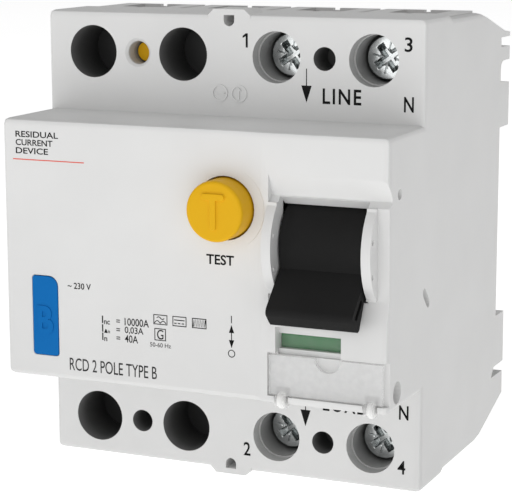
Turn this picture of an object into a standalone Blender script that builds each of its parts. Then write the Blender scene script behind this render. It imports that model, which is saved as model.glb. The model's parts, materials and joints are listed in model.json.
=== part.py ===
"""Residual current device, four modules wide, with its two right-hand poles fitted.

Sizes below are millimetres and are scaled to metres when each object is made. The origin is the
centre of the DIN rail seat on the back: +X is right, +Y goes into the rail and +Z is up.
"""

import math

import bmesh
import bpy
from mathutils import Matrix, Vector

MM = 0.001
GAP = 0.3
AXIS = {"X": Vector((1, 0, 0)), "Y": Vector((0, 1, 0)), "Z": Vector((0, 0, 1))}

# Housing: side profile and walls
MODULE = 17.5
HALF_WIDTH = 35.3
WALL = 1.8
NOSE_Y = -59.5
NOSE_WALL = 2.2
NOSE_HALF = 22.5
SHELF_Y = -43.0
BODY_Z = {1: 40.0, -1: -40.4}
SEAT_Y = 0.0
REAR_Y = 5.5
RAIL_TOP = 17.5
RAIL_BOTTOM = -18.2
INNER_X = HALF_WIDTH - WALL
NOSE_INNER_Y = NOSE_Y + NOSE_WALL
SHELF_INNER_Y = SHELF_Y + WALL
EDGE_ROUND = 1.0
PAD_WIDTH = 7.4

# Terminals: fitted poles at the right, empty ones at the left
POLE_X = (MODULE / 2, 3 * MODULE / 2)
EMPTY_X = (-MODULE / 2, -3 * MODULE / 2)
TERMINAL_Z = {1: 32.9, -1: -33.4}
BORE_RADIUS = 4.4
EMPTY_BORE_RADIUS = 4.6
BORE_INNER_RADIUS = 4.15
BORE_STEP_DEPTH = 2.5
BORE_END_Y = -33.0
TUBE_RADIUS = 5.3
BORE_FLOOR = 1.2
SMALL_HOLE_RADIUS = 2.0
SMALL_HOLE_END_Y = -36.5
SCREW_HEAD_Y = -36.1
SCREW_HEAD_RADIUS = 3.85
SCREW_HEAD_HEIGHT = 2.3
SCREW_RADIUS = 2.3
PLATE_Y = (-23.5, -22.0)
CLAMP_Y = (-25.4, -14.0)
CLAMP_WALL = 1.4
CLAMP_HALF_X = 5.5
CLAMP_Z = (28.6, 37.0)
ENTRY_Y = (-24.0, -14.6)
ENTRY_HALF_X = 4.4

# Toggle lever in its opening between two guard fins
LEVER_AXIS = (-52.3, 3.6)
LEVER_X = (16.4, 31.3)
DRUM_RADIUS = 7.6
FIN_RADIUS = 10.4
FIN_THICKNESS = 1.6
OPENING_X = (16.1, 31.6)
OPENING_Z = (-4.3, 11.9)
LEDGE_OUTLINE = [(-57.9, 12.9), (-58.0, 11.9), (-56.25, 10.45), (-55.6, 10.85), (-55.6, 12.9)]
HANDLE_CREASE = (-59.35, 0.3)
HANDLE_ROOT = (-57.0, -2.55)
HANDLE_UNDERSIDE = (-60.0, -3.85)
HANDLE_DIRECTION = (-0.718, -0.695)
HANDLE_LENGTH = 8.85
HANDLE_THICKNESS = 4.1
HANDLE_ROUND = 1.0
GROOVE_REACH = (4.4, 7.3)
GROOVE_RADIUS = 0.5
GROOVE_DEPTH = 1.4
SCOOP_X = 14.6
SCOOP_OUTLINE = [(-58.4, 12.5), (-58.4, 12.1), (-59.35, 11.1)]
SEAT_END = (-59.15, -3.9)
SCOOP_Z = (15.7, -9.0)
AXLE_RADIUS = 1.5
CRANK_RADIUS = 4.5
CRANK_ANGLE = 84.0
LINK_LENGTH = 10.0
LINK_ANGLE = -26.6
LINK_X = (22.6, 24.8)

# Test button
BUTTON_X = 6.6
BUTTON_Z = 9.5
BUTTON_RADIUS = 5.05
BUTTON_FRONT_Y = -63.8
DISH_RADII = (7.5, 6.2)
BROW_Y = -60.0
BROW_START_X = (9.0, 11.9)
BROW_EDGE_X = 13.4

# Type plate
PLATE_X = (-29.9, -25.0)
PLATE_Z = (-18.4, -4.5)
PLATE_CORNERS = (0.5, 0.5, 1.7, 0.5)
PLATE_GAP = 0.12

# Indicator window, flag and label flap
INDICATOR_X = (15.85, 27.35)
INDICATOR_Z = (-14.2, -9.4)
WINDOW_Z = (-13.3, -10.75)
FLAG_X = (15.6, 27.3)
FLAP_X = (14.75, 34.6)
FLAP_Z = (-20.8, -14.1)
FLAP_Y = (-60.1, -59.1)
FLAP_HINGE = (-59.3, -21.7)
FLAP_LUG_RADIUS = 1.3
FLAP_LUG_X = ((15.9, 17.8), (31.4, 33.3))
FLAP_NOTCH_X = 25.1

# Contacts and trip parts
CARRIER_X = (5.2, 29.8)
CARRIER_Y = (-44.1, -37.4)
CARRIER_Z = (-4.5, 8.6)
BRIDGE_Y = (-37.1, -36.1)
CONTACT_Z = 7.0
CONTACT_RADIUS = 1.6
FIXED_FACE_Y = -29.0
STRIP_THICKNESS = 1.5
STRIP_HALF_X = 3.6

# Current transformer
CORE_CENTRE = (-16.5, -20.0)
CORE_RADII = (8.0, 12.0)
CORE_HALF_HEIGHT = 5.0
WINDING_SWEEP = 300.0

# Rail clips and base screws
CLIP_X = (-MODULE, MODULE)
CLIP_HALF_WIDTH = 5.0
CLIP_Y = (1.3, 4.0)
CLIP_Z = (-37.8, -17.0)
BASE_SCREW_X = 30.3
BASE_SCREW_Z = (21.5, -23.2)

MATERIALS = {}


def material(name, colour, roughness, metallic=0.0, transmission=0.0):
    made = bpy.data.materials.new(name)
    made.use_nodes = True
    shader = made.node_tree.nodes["Principled BSDF"]
    shader.inputs["Base Color"].default_value = (*colour, 1.0)
    shader.inputs["Roughness"].default_value = roughness
    shader.inputs["Metallic"].default_value = metallic
    shader.inputs["Transmission Weight"].default_value = transmission
    MATERIALS[name] = made


def make_materials():
    material("housing_white", (0.80, 0.80, 0.79), 0.45)
    material("base_grey", (0.55, 0.55, 0.54), 0.5)
    material("lever_black", (0.02, 0.02, 0.02), 0.4)
    material("button_yellow", (0.83, 0.50, 0.03), 0.35)
    material("plate_blue", (0.01, 0.16, 0.48), 0.4)
    material("flag_green", (0.07, 0.19, 0.08), 0.5)
    material("clear_plastic", (0.9, 0.9, 0.9), 0.08, transmission=0.9)
    material("zinc_steel", (0.60, 0.60, 0.58), 0.3, metallic=1.0)
    material("spring_steel", (0.45, 0.45, 0.46), 0.3, metallic=1.0)
    material("brass", (0.70, 0.50, 0.20), 0.3, metallic=1.0)
    material("copper", (0.72, 0.35, 0.20), 0.35, metallic=1.0)
    material("board_green", (0.02, 0.18, 0.08), 0.5)
    material("insulator_brown", (0.20, 0.08, 0.03), 0.6)
    material("part_black", (0.03, 0.03, 0.03), 0.5)
    material("clip_white", (0.70, 0.70, 0.68), 0.45)


def clear_scene():
    for obj in list(bpy.data.objects):
        bpy.data.objects.remove(obj, do_unlink=True)


def arc(centre, radius, start, end, steps):
    """Points on an arc, from one angle to another in degrees."""
    points = []
    for step in range(steps + 1):
        angle = math.radians(start + (end - start) * step / steps)
        points.append((centre[0] + radius * math.cos(angle), centre[1] + radius * math.sin(angle)))
    return points


def rectangle(low, high):
    return [(low[0], low[1]), (high[0], low[1]), (high[0], high[1]), (low[0], high[1])]


def add_box(shape, low, high):
    low, high = Vector(low), Vector(high)
    place = Matrix.Translation((low + high) / 2) @ Matrix.Diagonal((*(high - low), 1))
    bmesh.ops.create_cube(shape, size=1, matrix=place)


def add_rod(shape, start, axis, length, radius, end_radius=None, sides=24):
    """A cylinder or cone from the point start, along X, Y or Z."""
    turn = AXIS["Z"].rotation_difference(AXIS[axis]).to_matrix().to_4x4()
    middle = Vector(start) + AXIS[axis] * (length / 2)
    bmesh.ops.create_cone(
        shape,
        cap_ends=True,
        segments=sides,
        radius1=radius,
        radius2=radius if end_radius is None else end_radius,
        depth=length,
        matrix=Matrix.Translation(middle) @ turn,
    )


def placed(axis, point, along):
    """A point of an outline as a 3-D point: outlines are (y, z), (x, z) or (x, y)."""
    if axis == "X":
        return (along, point[0], point[1])
    if axis == "Y":
        return (point[0], along, point[1])
    return (point[0], point[1], along)


def add_prism(shape, outline, axis, low, high):
    corners = [shape.verts.new(placed(axis, point, low)) for point in outline]
    made = bmesh.ops.extrude_face_region(shape, geom=[shape.faces.new(corners)])
    moved = [item for item in made["geom"] if isinstance(item, bmesh.types.BMVert)]
    bmesh.ops.translate(shape, verts=moved, vec=AXIS[axis] * (high - low))


def strip_outline(path, thickness):
    """The outline of a bent strip whose middle follows path."""
    sides = ([], [])
    for index, point in enumerate(path):
        before = Vector(path[max(index - 1, 0)])
        after = Vector(path[min(index + 1, len(path) - 1)])
        here = Vector(point)
        into = (here - before).normalized() if index else (after - here).normalized()
        out = (after - here).normalized() if index < len(path) - 1 else into
        across = Vector((-(into + out).y, (into + out).x)).normalized()
        reach = thickness / 2 / max(0.3, across.dot(Vector((-into.y, into.x))))
        sides[0].append(tuple(here + across * reach))
        sides[1].append(tuple(here - across * reach))
    return sides[0] + sides[1][::-1]


def bevel_where(shape, chosen, width, segments=2):
    edges = [edge for edge in shape.edges if chosen(edge)]
    bmesh.ops.bevel(
        shape, geom=edges, offset=width, segments=segments, profile=0.5, affect="EDGES"
    )


def mesh_object(name, shape, pivot):
    bmesh.ops.recalc_face_normals(shape, faces=shape.faces)
    bmesh.ops.translate(shape, verts=shape.verts, vec=-Vector(pivot))
    bmesh.ops.scale(shape, verts=shape.verts, vec=(MM, MM, MM))
    mesh = bpy.data.meshes.new(name)
    shape.to_mesh(mesh)
    shape.free()
    obj = bpy.data.objects.new(name, mesh)
    obj.location = Vector(pivot) * MM
    bpy.context.scene.collection.objects.link(obj)
    return obj


def piece(name, shape, material_name, pivot=(0, 0, 0), smooth=True):
    """Turns the shape into a named object whose origin is at pivot."""
    obj = mesh_object(name, shape, pivot)
    obj.data.materials.append(MATERIALS[material_name])
    if smooth:
        obj.data.shade_smooth()
        obj.data.set_sharp_from_angle(angle=math.radians(40))
    return obj


def helper_object(name, shape):
    """A shape that only cuts or joins, and so isn't a piece."""
    helper = mesh_object(name, shape, (0, 0, 0))
    helper.hide_render = True
    helper.display_type = "WIRE"
    return helper


def boolean(target, helper, operation):
    modifier = target.modifiers.new(f"{operation.lower()}_{len(target.modifiers)}", "BOOLEAN")
    modifier.operation = operation
    modifier.solver = "EXACT"
    modifier.object = helper


def cut(target, shape):
    helper = helper_object(f"{target.name}_cut_{len(target.modifiers)}", shape)
    boolean(target, helper, "DIFFERENCE")


def join(target, shape):
    helper = helper_object(f"{target.name}_join_{len(target.modifiers)}", shape)
    boolean(target, helper, "UNION")


def rail_face():
    """The back of the body between its upper and lower notches, as (y, z) from the top down."""
    return [
        (SEAT_Y, 26.0),
        (REAR_Y, 25.6),
        (REAR_Y, RAIL_TOP),
        (SEAT_Y, RAIL_TOP),
        (SEAT_Y, RAIL_BOTTOM),
        (5.2, RAIL_BOTTOM),
        (5.4, -28.0),
        (-0.6, -28.0),
        (-2.1, -29.8),
        (5.0, -29.9),
    ]


def body_outline():
    """The whole side profile of the housing as (y, z)."""
    front = [(NOSE_Y, -NOSE_HALF), (NOSE_Y, NOSE_HALF), (SHELF_Y, NOSE_HALF)]
    high, low = BODY_Z[1], BODY_Z[-1]
    top = [(SHELF_Y, high), (-30.4, high), (-28.5, high - 0.7), (-13.2, high - 0.7), (2.0, 35.3)]
    tip = [(REAR_Y, 34.9), (REAR_Y, 34.1), (SEAT_Y, 34.1), (SEAT_Y, 32.4), (REAR_Y, 32.3)]
    notch = [(REAR_Y, 29.8)] + arc((1.6, 28.2), 1.6, 90, 180, 3)
    bottom = [(5.1, -34.2), (-12.2, low + 0.6), (-29.6, low + 0.6), (-30.9, low)]
    foot = [(SHELF_Y, low), (SHELF_Y, -NOSE_HALF)]
    return front + top + tip + notch + rail_face() + bottom + foot


def cavity_outline():
    front = [(NOSE_INNER_Y, -20.7), (NOSE_INNER_Y, 20.7), (SHELF_INNER_Y, 20.7)]
    top = [(SHELF_INNER_Y, 38.0), (-13.5, 37.4), (-WALL, 34.0), (-WALL, 28.1), (REAR_Y + 2, 28.1)]
    bottom = [(REAR_Y + 2, -32.4), (-12.4, -37.6), (SHELF_INNER_Y, -38.0), (SHELF_INNER_Y, -20.7)]
    return front + top + bottom


def is_rounded_edge(edge):
    """Edges of the outer block that the mould rounds: the side rims and the front corners."""
    first, second = (vert.co for vert in edge.verts)
    if max(first.y, second.y) > -2.0:
        return False
    on_side = abs(first.x) > HALF_WIDTH - 0.01 and abs(second.x) > HALF_WIDTH - 0.01
    if on_side and first.x * second.x > 0:
        return True
    along_x = abs(first.x - second.x) > HALF_WIDTH
    is_front = first.y < SHELF_Y + 0.01 and abs(abs(first.z) - NOSE_HALF) < 0.01
    is_top = min(abs(first.z - z) for z in BODY_Z.values()) < 0.01 and first.y < SHELF_Y + 0.01
    return along_x and ((is_front and first.y < SHELF_Y - 1) or is_top)


def cover_additions():
    """Walls and tubes inside the housing, and what stands out of it."""
    shape = bmesh.new()
    for z in TERMINAL_Z.values():
        for x in POLE_X:
            add_rod(shape, (x, SHELF_Y + 1, z), "Y", BORE_END_Y - SHELF_Y - 1, TUBE_RADIUS)
        for x in EMPTY_X:
            end_y = BORE_END_Y + BORE_FLOOR
            add_rod(shape, (x, SHELF_Y + 1, z), "Y", end_y - SHELF_Y - 1, TUBE_RADIUS)
        for x in (-MODULE, MODULE):
            end_y = SMALL_HOLE_END_Y + BORE_FLOOR
            add_rod(shape, (x, SHELF_Y + 1, z), "Y", end_y - SHELF_Y - 1, SMALL_HOLE_RADIUS + 1, sides=20)
    for x in (-BASE_SCREW_X, BASE_SCREW_X):
        for z in BASE_SCREW_Z:
            low, high = sorted((math.copysign(27.4, x), math.copysign(INNER_X + 0.9, x)))
            add_box(shape, (low, -17.0, z - 2.7), (high, -2.3, z + 2.7))
    add_box(shape, (14.0, NOSE_INNER_Y - 0.4, -21.2), (INNER_X + 0.9, -55.2, -18.9))
    return shape


def cover_outside():
    """Guard fins beside the lever, the centre tabs and the pads along the top and bottom."""
    shape = bmesh.new()
    reach = math.degrees(math.acos((LEVER_AXIS[0] - NOSE_Y - 1.2) / FIN_RADIUS))
    fin = arc(LEVER_AXIS, FIN_RADIUS, 180 - reach, 180 + reach, 16)
    for low in (OPENING_X[0] - FIN_THICKNESS, OPENING_X[1]):
        add_prism(shape, fin, "X", low, low + FIN_THICKNESS)
    for side in (-1, 1):
        reach = abs(BODY_Z[side])
        top, base, shoulder = reach + 0.8, reach - 1.1, reach - 0.2
        tab = [(-3.9, base), (3.9, base), (3.9, shoulder), (2.8, top), (-2.9, top), (-3.9, shoulder)]
        add_prism(shape, [(x, side * z) for x, z in tab], "Y", SHELF_Y, SHELF_Y + 6)
        for index in range(8):
            edge = min((index - 3.5) * MODULE / 2 + 3.4, HALF_WIDTH - 1.5)
            low, high = sorted((side * (reach - 1.2), side * (reach - 0.3)))
            add_box(shape, (edge - PAD_WIDTH, -27.6, low), (edge, -13.4, high))
    return shape


def scoop_cutter():
    """The hollow above the lever and the slope below it, open to the right side."""
    shape = bmesh.new()
    front = BROW_Y - 1
    top, bottom = SCOOP_Z
    upper = [(front, top), (BROW_Y, top)] + SCOOP_OUTLINE + [(front, SCOOP_OUTLINE[-1][1])]
    lower = [(front, SEAT_END[1]), SEAT_END, (BROW_Y, bottom), (front, bottom)]
    for outline in (upper, lower):
        add_prism(shape, outline, "X", SCOOP_X, HALF_WIDTH + 1)
    return shape


def seat_cutter():
    """The flat face that is set back between the right guard fin and the side."""
    shape = bmesh.new()
    front = BROW_Y - 1
    outline = [(front, SCOOP_OUTLINE[-1][1] + 0.5), (SCOOP_OUTLINE[-1][0], SCOOP_OUTLINE[-1][1] + 0.01)]
    outline += [SCOOP_OUTLINE[-1], SEAT_END, (front, SEAT_END[1] - 0.5)]
    add_prism(shape, outline, "X", OPENING_X[1] + FIN_THICKNESS, HALF_WIDTH + 1)
    return shape


def bore_cutter():
    """Screw bores down to their step, empty bores to their floor, and the small holes."""
    shape = bmesh.new()
    for z in TERMINAL_Z.values():
        for x in POLE_X:
            rim = arc((x, z), BORE_RADIUS, 0, 348.75, 31)
            add_prism(shape, rim, "Y", SHELF_Y - 1, SHELF_Y + BORE_STEP_DEPTH)
        for x in EMPTY_X:
            rim = arc((x, z), EMPTY_BORE_RADIUS, 0, 352.5, 47)
            add_prism(shape, rim, "Y", SHELF_Y - 1, BORE_END_Y)
        for x in (-MODULE, MODULE):
            start = (x, SHELF_Y - 1, z)
            add_rod(shape, start, "Y", SMALL_HOLE_END_Y - start[1], SMALL_HOLE_RADIUS, sides=32)
    return shape


def countersink_cutter():
    """The wide mouth of the hole that takes the seal plug."""
    shape = bmesh.new()
    start = (-MODULE, SHELF_Y - 0.4, TERMINAL_Z[1])
    add_rod(shape, start, "Y", 1.0, SMALL_HOLE_RADIUS + 0.9, SMALL_HOLE_RADIUS - 0.1, sides=32)
    return shape


def inner_bore_cutter():
    shape = bmesh.new()
    for z in TERMINAL_Z.values():
        for x in POLE_X:
            start = (x, SHELF_Y + 1, z)
            add_rod(shape, start, "Y", BORE_END_Y - SHELF_Y, BORE_INNER_RADIUS, sides=32)
    return shape


def entry_cutter():
    """Cable entries through the top and bottom, and the slots where the rail clips come out."""
    shape = bmesh.new()
    for side in (-1, 1):
        for x in POLE_X + EMPTY_X:
            low, high = sorted((side * 36.5, side * 42.0))
            add_box(shape, (x - ENTRY_HALF_X, ENTRY_Y[0], low), (x + ENTRY_HALF_X, ENTRY_Y[1], high))
    for x in CLIP_X:
        reach = CLIP_HALF_WIDTH + GAP
        add_box(shape, (x - reach, CLIP_Y[0] - 0.6, -38.0), (x + reach, CLIP_Y[1] + GAP, -31.0))
    return shape


def plate_outline(grow):
    """The type plate from the front as (x, z), with its one large corner at the upper right."""
    outline = []
    for index, (right, up) in enumerate(((-1, -1), (1, -1), (1, 1), (-1, 1))):
        radius = PLATE_CORNERS[index]
        x = PLATE_X[right > 0] - right * radius
        z = PLATE_Z[up > 0] - up * radius
        outline += arc((x, z), radius + grow, 180 + 90 * index, 270 + 90 * index, 5)
    return outline


def nose_cutter():
    """The lever opening, test button hole, flap pocket and plate recess."""
    shape = bmesh.new()
    add_box(
        shape,
        (OPENING_X[0], NOSE_Y - 5, OPENING_Z[0]),
        (OPENING_X[1], NOSE_INNER_Y + 2, OPENING_Z[1]),
    )
    hole_y = NOSE_Y - 2
    add_rod(shape, (BUTTON_X, hole_y, BUTTON_Z), "Y", 6.0, BUTTON_RADIUS + GAP, sides=36)
    add_prism(shape, plate_outline(PLATE_GAP), "Y", NOSE_Y - 1, NOSE_Y + 0.7)
    low = (FLAP_X[0] - GAP, BROW_Y - 1, FLAP_Z[0] - GAP)
    add_box(shape, low, (HALF_WIDTH + 1, FLAP_Y[1] + GAP, FLAP_Z[1] + GAP))
    return shape


def small_cutter():
    """The window opening, flap lug seats, D holes in the tabs and the marks on the right side."""
    shape = bmesh.new()
    low = (INDICATOR_X[0], NOSE_Y - 1, WINDOW_Z[0])
    add_box(shape, low, (INDICATOR_X[1], NOSE_INNER_Y + 1, WINDOW_Z[1]))
    for low, high in FLAP_LUG_X:
        add_box(shape, (low - GAP, NOSE_Y - 1, -24.0), (high + GAP, -57.2, -19.7))
    for side in (-1, 1):
        straight, middle = side * (abs(BODY_Z[side]) - 0.2), side * (abs(BODY_Z[side]) - 1.1)
        hole = [(-1.0, straight)] + arc((0, middle), 1.0, 180, 180 + side * 180, 6)
        add_prism(shape, hole + [(1.0, straight)], "Y", SHELF_Y - 1, SHELF_Y + 4)
    depth = (HALF_WIDTH - 1.2, HALF_WIDTH + 1)
    reach = depth[1] - depth[0]
    add_rod(shape, (depth[0], -55.0, 12.9), "X", reach, 0.95, sides=16)
    add_rod(shape, (depth[0], -55.2, -19.6), "X", reach, 1.9, sides=20)
    slot = arc((-42.1, -5.6), 0.8, 45, 225, 5) + arc((-40.1, -7.7), 0.8, 225, 405, 5)
    add_prism(shape, slot, "X", *depth)
    return shape


def indicator_cutter():
    """The recess of the indicator, which runs down behind the top edge of the flap."""
    shape = bmesh.new()
    low = (INDICATOR_X[0], BROW_Y - 1, INDICATOR_Z[0])
    add_box(shape, low, (INDICATOR_X[1], NOSE_Y + 1.2, INDICATOR_Z[1]))
    return shape


def screw_hole_cutter(low_y, high_y, radius):
    shape = bmesh.new()
    for x in (-BASE_SCREW_X, BASE_SCREW_X):
        for z in BASE_SCREW_Z:
            add_rod(shape, (x, low_y, z), "Y", high_y - low_y, radius, sides=16)
    return shape


def is_brow_rim(edge):
    """The front rim of the brow above and below, and its right-hand edges but for the hidden one."""
    first, second = (vert.co for vert in edge.verts)
    if first.y + second.y > 2 * NOSE_Y + 2.1:
        return False
    along_x = abs(first.x - second.x) > 0.01
    on_end = first.z * second.z > 0 and along_x and max(first.y, second.y) < NOSE_Y + 0.1
    return on_end or min(first.x, second.x) > HALF_WIDTH - 0.01


def make_brow():
    """The slightly raised right part of the nose, which ramps up beside the button."""
    back = NOSE_Y + 1.1
    outline = [(0.0, NOSE_Y + 0.05), (BROW_EDGE_X, BROW_Y), (HALF_WIDTH, BROW_Y)]
    outline += [(HALF_WIDTH, back), (0.0, back)]
    shape = bmesh.new()
    add_prism(shape, outline, "Z", -NOSE_HALF, NOSE_HALF)
    for vert in shape.verts:
        if vert.co.x < 0.01:
            vert.co.x = BROW_START_X[vert.co.z < 0]
    bevel_where(shape, is_brow_rim, EDGE_ROUND)
    brow = helper_object("brow", shape)
    dish = bmesh.new()
    start = (BUTTON_X, BROW_Y - 0.2, BUTTON_Z)
    add_rod(dish, start, "Y", back - BROW_Y + 0.5, *DISH_RADII, sides=48)
    cut(brow, dish)
    return brow


def make_front_cover():
    shape = bmesh.new()
    add_prism(shape, body_outline(), "X", -HALF_WIDTH, HALF_WIDTH)
    bevel_where(shape, is_rounded_edge, EDGE_ROUND)
    cover = piece("front_cover", shape, "housing_white")
    cavity = bmesh.new()
    add_prism(cavity, cavity_outline(), "X", -INNER_X, INNER_X)
    cut(cover, cavity)
    join(cover, cover_additions())
    cut(cover, screw_hole_cutter(-14.5, 0.0, 1.6))
    join(cover, cover_outside())
    boolean(cover, make_brow(), "UNION")
    cut(cover, nose_cutter())
    cut(cover, indicator_cutter())
    cut(cover, scoop_cutter())
    cut(cover, seat_cutter())
    ledge = bmesh.new()
    add_prism(ledge, LEDGE_OUTLINE, "X", OPENING_X[0] - 0.1, OPENING_X[1] - 0.2)
    join(cover, ledge)
    cut(cover, bore_cutter())
    cut(cover, inner_bore_cutter())
    cut(cover, countersink_cutter())
    cut(cover, entry_cutter())
    cut(cover, small_cutter())


def make_rear_base():
    inside = [(5.05, -32.1), (-4.4, -32.1), (-4.4, -28.4), (-2.0, -26.6), (-2.0, 27.8)]
    shape = bmesh.new()
    half = INNER_X - GAP
    add_prism(shape, [(SEAT_Y, 27.8)] + rail_face() + inside, "X", -half, half)
    base = piece("rear_base", shape, "base_grey")
    channels = bmesh.new()
    for x in CLIP_X:
        reach = CLIP_HALF_WIDTH + GAP
        low = (x - reach, CLIP_Y[0] - GAP, -34.0)
        add_box(channels, low, (x + reach, CLIP_Y[1] + GAP, RAIL_BOTTOM + 1))
    cut(base, channels)
    posts = bmesh.new()
    for x in CLIP_X:
        add_box(posts, (x - 1.8, CLIP_Y[0] - 0.8, -27.2), (x + 1.8, CLIP_Y[1] + 0.8, -26.0))
    join(base, posts)
    cut(base, screw_hole_cutter(-3.0, 7.0, 1.6))
    cut(base, screw_hole_cutter(3.0, 7.0, 2.9))


def make_base_screws():
    number = 0
    for z in BASE_SCREW_Z:
        for x in (-BASE_SCREW_X, BASE_SCREW_X):
            number += 1
            shape = bmesh.new()
            head_back = 5.0
            outline = [(0, head_back), (2.0, head_back), (2.5, 4.6), (2.5, 3.3), (1.3, 3.3), (1.3, -13.0)]
            outline.append((0, -13.6))
            add_turned(shape, [(r, y) for r, y in outline], (x, 0, z), 16)
            screw = piece(f"base_screw_{number}", shape, "zinc_steel", (x, 0, z))
            slots = bmesh.new()
            add_box(slots, (x - 1.5, 4.0, z - 0.3), (x + 1.5, 6.0, z + 0.3))
            cut(screw, slots)


def add_turned(shape, profile, centre, sides):
    """A solid of revolution about a Y axis through centre, from (radius, y) points on the axis."""
    rings = []
    for radius, along in profile:
        ring = []
        for side in range(sides if radius else 1):
            angle = 2 * math.pi * side / sides
            x = centre[0] + radius * math.cos(angle)
            z = centre[2] + radius * math.sin(angle)
            ring.append(shape.verts.new((x, centre[1] + along, z)))
        rings.append(ring)
    for first, second in zip(rings, rings[1:]):
        for side in range(sides):
            after = (side + 1) % sides
            corners = [first[side % len(first)], first[after % len(first)]]
            corners += [second[after % len(second)], second[side % len(second)]]
            shape.faces.new(list(dict.fromkeys(corners)))


def make_terminals():
    """Screw, lift clamp and conductor plate of each fitted terminal: two above, then two below."""
    number = 0
    for side in (1, -1):
        for x in POLE_X:
            number += 1
            z = TERMINAL_Z[side]
            make_terminal_screw(number, x, z)
            make_lift_clamp(number, x, side)
            make_terminal_plate(number, x, side)


def make_terminal_screw(number, x, z):
    neck_y = SCREW_HEAD_Y + SCREW_HEAD_HEIGHT
    tip_y = PLATE_Y[0] - 0.4
    profile = [
        (0, SCREW_HEAD_Y),
        (SCREW_HEAD_RADIUS - 0.5, SCREW_HEAD_Y),
        (SCREW_HEAD_RADIUS, SCREW_HEAD_Y + 0.5),
        (SCREW_HEAD_RADIUS, neck_y),
        (SCREW_RADIUS, neck_y),
        (SCREW_RADIUS, tip_y - 0.5),
        (SCREW_RADIUS - 0.6, tip_y),
        (0, tip_y),
    ]
    shape = bmesh.new()
    add_turned(shape, profile, (x, 0, z), 24)
    screw = piece(f"terminal_screw_{number}", shape, "zinc_steel", (x, SCREW_HEAD_Y, z))
    half, width, depth = 2.4, 0.55, 1.7
    arm = [(half, -width), (half, width), (width, width)]
    outline = []
    for quarter in range(4):
        outline += arm
        arm = [(-v, u) for u, v in arm]
    recess = bmesh.new()
    corners = [(x + u, z + v) for u, v in outline]
    add_prism(recess, corners, "Y", SCREW_HEAD_Y - 1, SCREW_HEAD_Y + depth)
    cut(screw, recess)


def make_lift_clamp(number, x, side):
    low, high = sorted((side * CLAMP_Z[0], side * CLAMP_Z[1]))
    shape = bmesh.new()
    add_box(shape, (x - CLAMP_HALF_X, CLAMP_Y[0], low), (x + CLAMP_HALF_X, CLAMP_Y[1], high))
    bevel_where(shape, lambda edge: abs(edge.verts[0].co.z - edge.verts[1].co.z) > 1, 0.8)
    clamp = piece(f"lift_clamp_{number}", shape, "zinc_steel", (x, CLAMP_Y[0], TERMINAL_Z[side]))
    mouth = bmesh.new()
    inner = CLAMP_HALF_X - CLAMP_WALL
    mouth_low = (x - inner, CLAMP_Y[0] + CLAMP_WALL, low - 1)
    add_box(mouth, mouth_low, (x + inner, CLAMP_Y[1] - CLAMP_WALL, high + 1))
    cut(clamp, mouth)
    hole = bmesh.new()
    start = (x, CLAMP_Y[0] - 1, TERMINAL_Z[side])
    add_rod(hole, start, "Y", 1.6 + CLAMP_WALL, SCREW_RADIUS + GAP, sides=20)
    cut(clamp, hole)


def make_terminal_plate(number, x, side):
    middle = sum(PLATE_Y) / 2
    contact_y = FIXED_FACE_Y + STRIP_THICKNESS / 2
    if side > 0:
        path = [(middle, 36.6), (middle, 21.5), (contact_y, 17.2), (contact_y, 5.0)]
    else:
        path = [(middle, -24.2), (middle, -36.6)]
    shape = bmesh.new()
    outline = strip_outline(path, STRIP_THICKNESS)
    add_prism(shape, outline, "X", x - STRIP_HALF_X, x + STRIP_HALF_X)
    plate = piece(f"terminal_plate_{number}", shape, "copper")
    if side > 0:
        add_contact_button(plate, x, CONTACT_Z)


def add_contact_button(plate, x, z):
    button = bmesh.new()
    add_rod(button, (x, FIXED_FACE_Y - 0.6, z), "Y", 0.9, CONTACT_RADIUS, sides=16)
    join(plate, button)


def make_fixed_contacts():
    contact_y = FIXED_FACE_Y + STRIP_THICKNESS / 2
    path = [(contact_y, -5.0), (contact_y, -16.4), (-23.2, -19.6), (-23.2, -21.6)]
    for name, x in zip(("line", "neutral"), POLE_X):
        shape = bmesh.new()
        outline = strip_outline(path, STRIP_THICKNESS)
        add_prism(shape, outline, "X", x - STRIP_HALF_X, x + STRIP_HALF_X)
        plate = piece(f"fixed_contact_{name}", shape, "copper")
        add_contact_button(plate, x, -CONTACT_Z)


def on_handle(along, across):
    """The (y, z) point that lies so far out along the handle from its crease and so far into it."""
    out = Vector(HANDLE_DIRECTION).normalized()
    return tuple(Vector(HANDLE_CREASE) + out * along + Vector((-out.y, out.x)) * across)


def lever_profile():
    """The drum and the handle as (y, z), with the handle at its lower, off position."""
    ends = (HANDLE_ROOT, HANDLE_CREASE)
    start, end = (math.degrees(math.atan2(z - LEVER_AXIS[1], y - LEVER_AXIS[0])) for y, z in ends)
    drum = arc(LEVER_AXIS, DRUM_RADIUS, start, end + 360, 40)[1:-1]
    reach = HANDLE_LENGTH - HANDLE_ROUND
    tip = arc((reach, HANDLE_ROUND), HANDLE_ROUND, -90, 0, 4)
    tip += arc((reach, HANDLE_THICKNESS - HANDLE_ROUND), HANDLE_ROUND, 0, 90, 4)
    handle = [on_handle(u, v) for u, v in tip]
    return drum + [HANDLE_CREASE] + handle + [HANDLE_UNDERSIDE, HANDLE_ROOT]


def crank_pin():
    return arc(LEVER_AXIS, CRANK_RADIUS, CRANK_ANGLE, CRANK_ANGLE, 1)[0]


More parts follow.
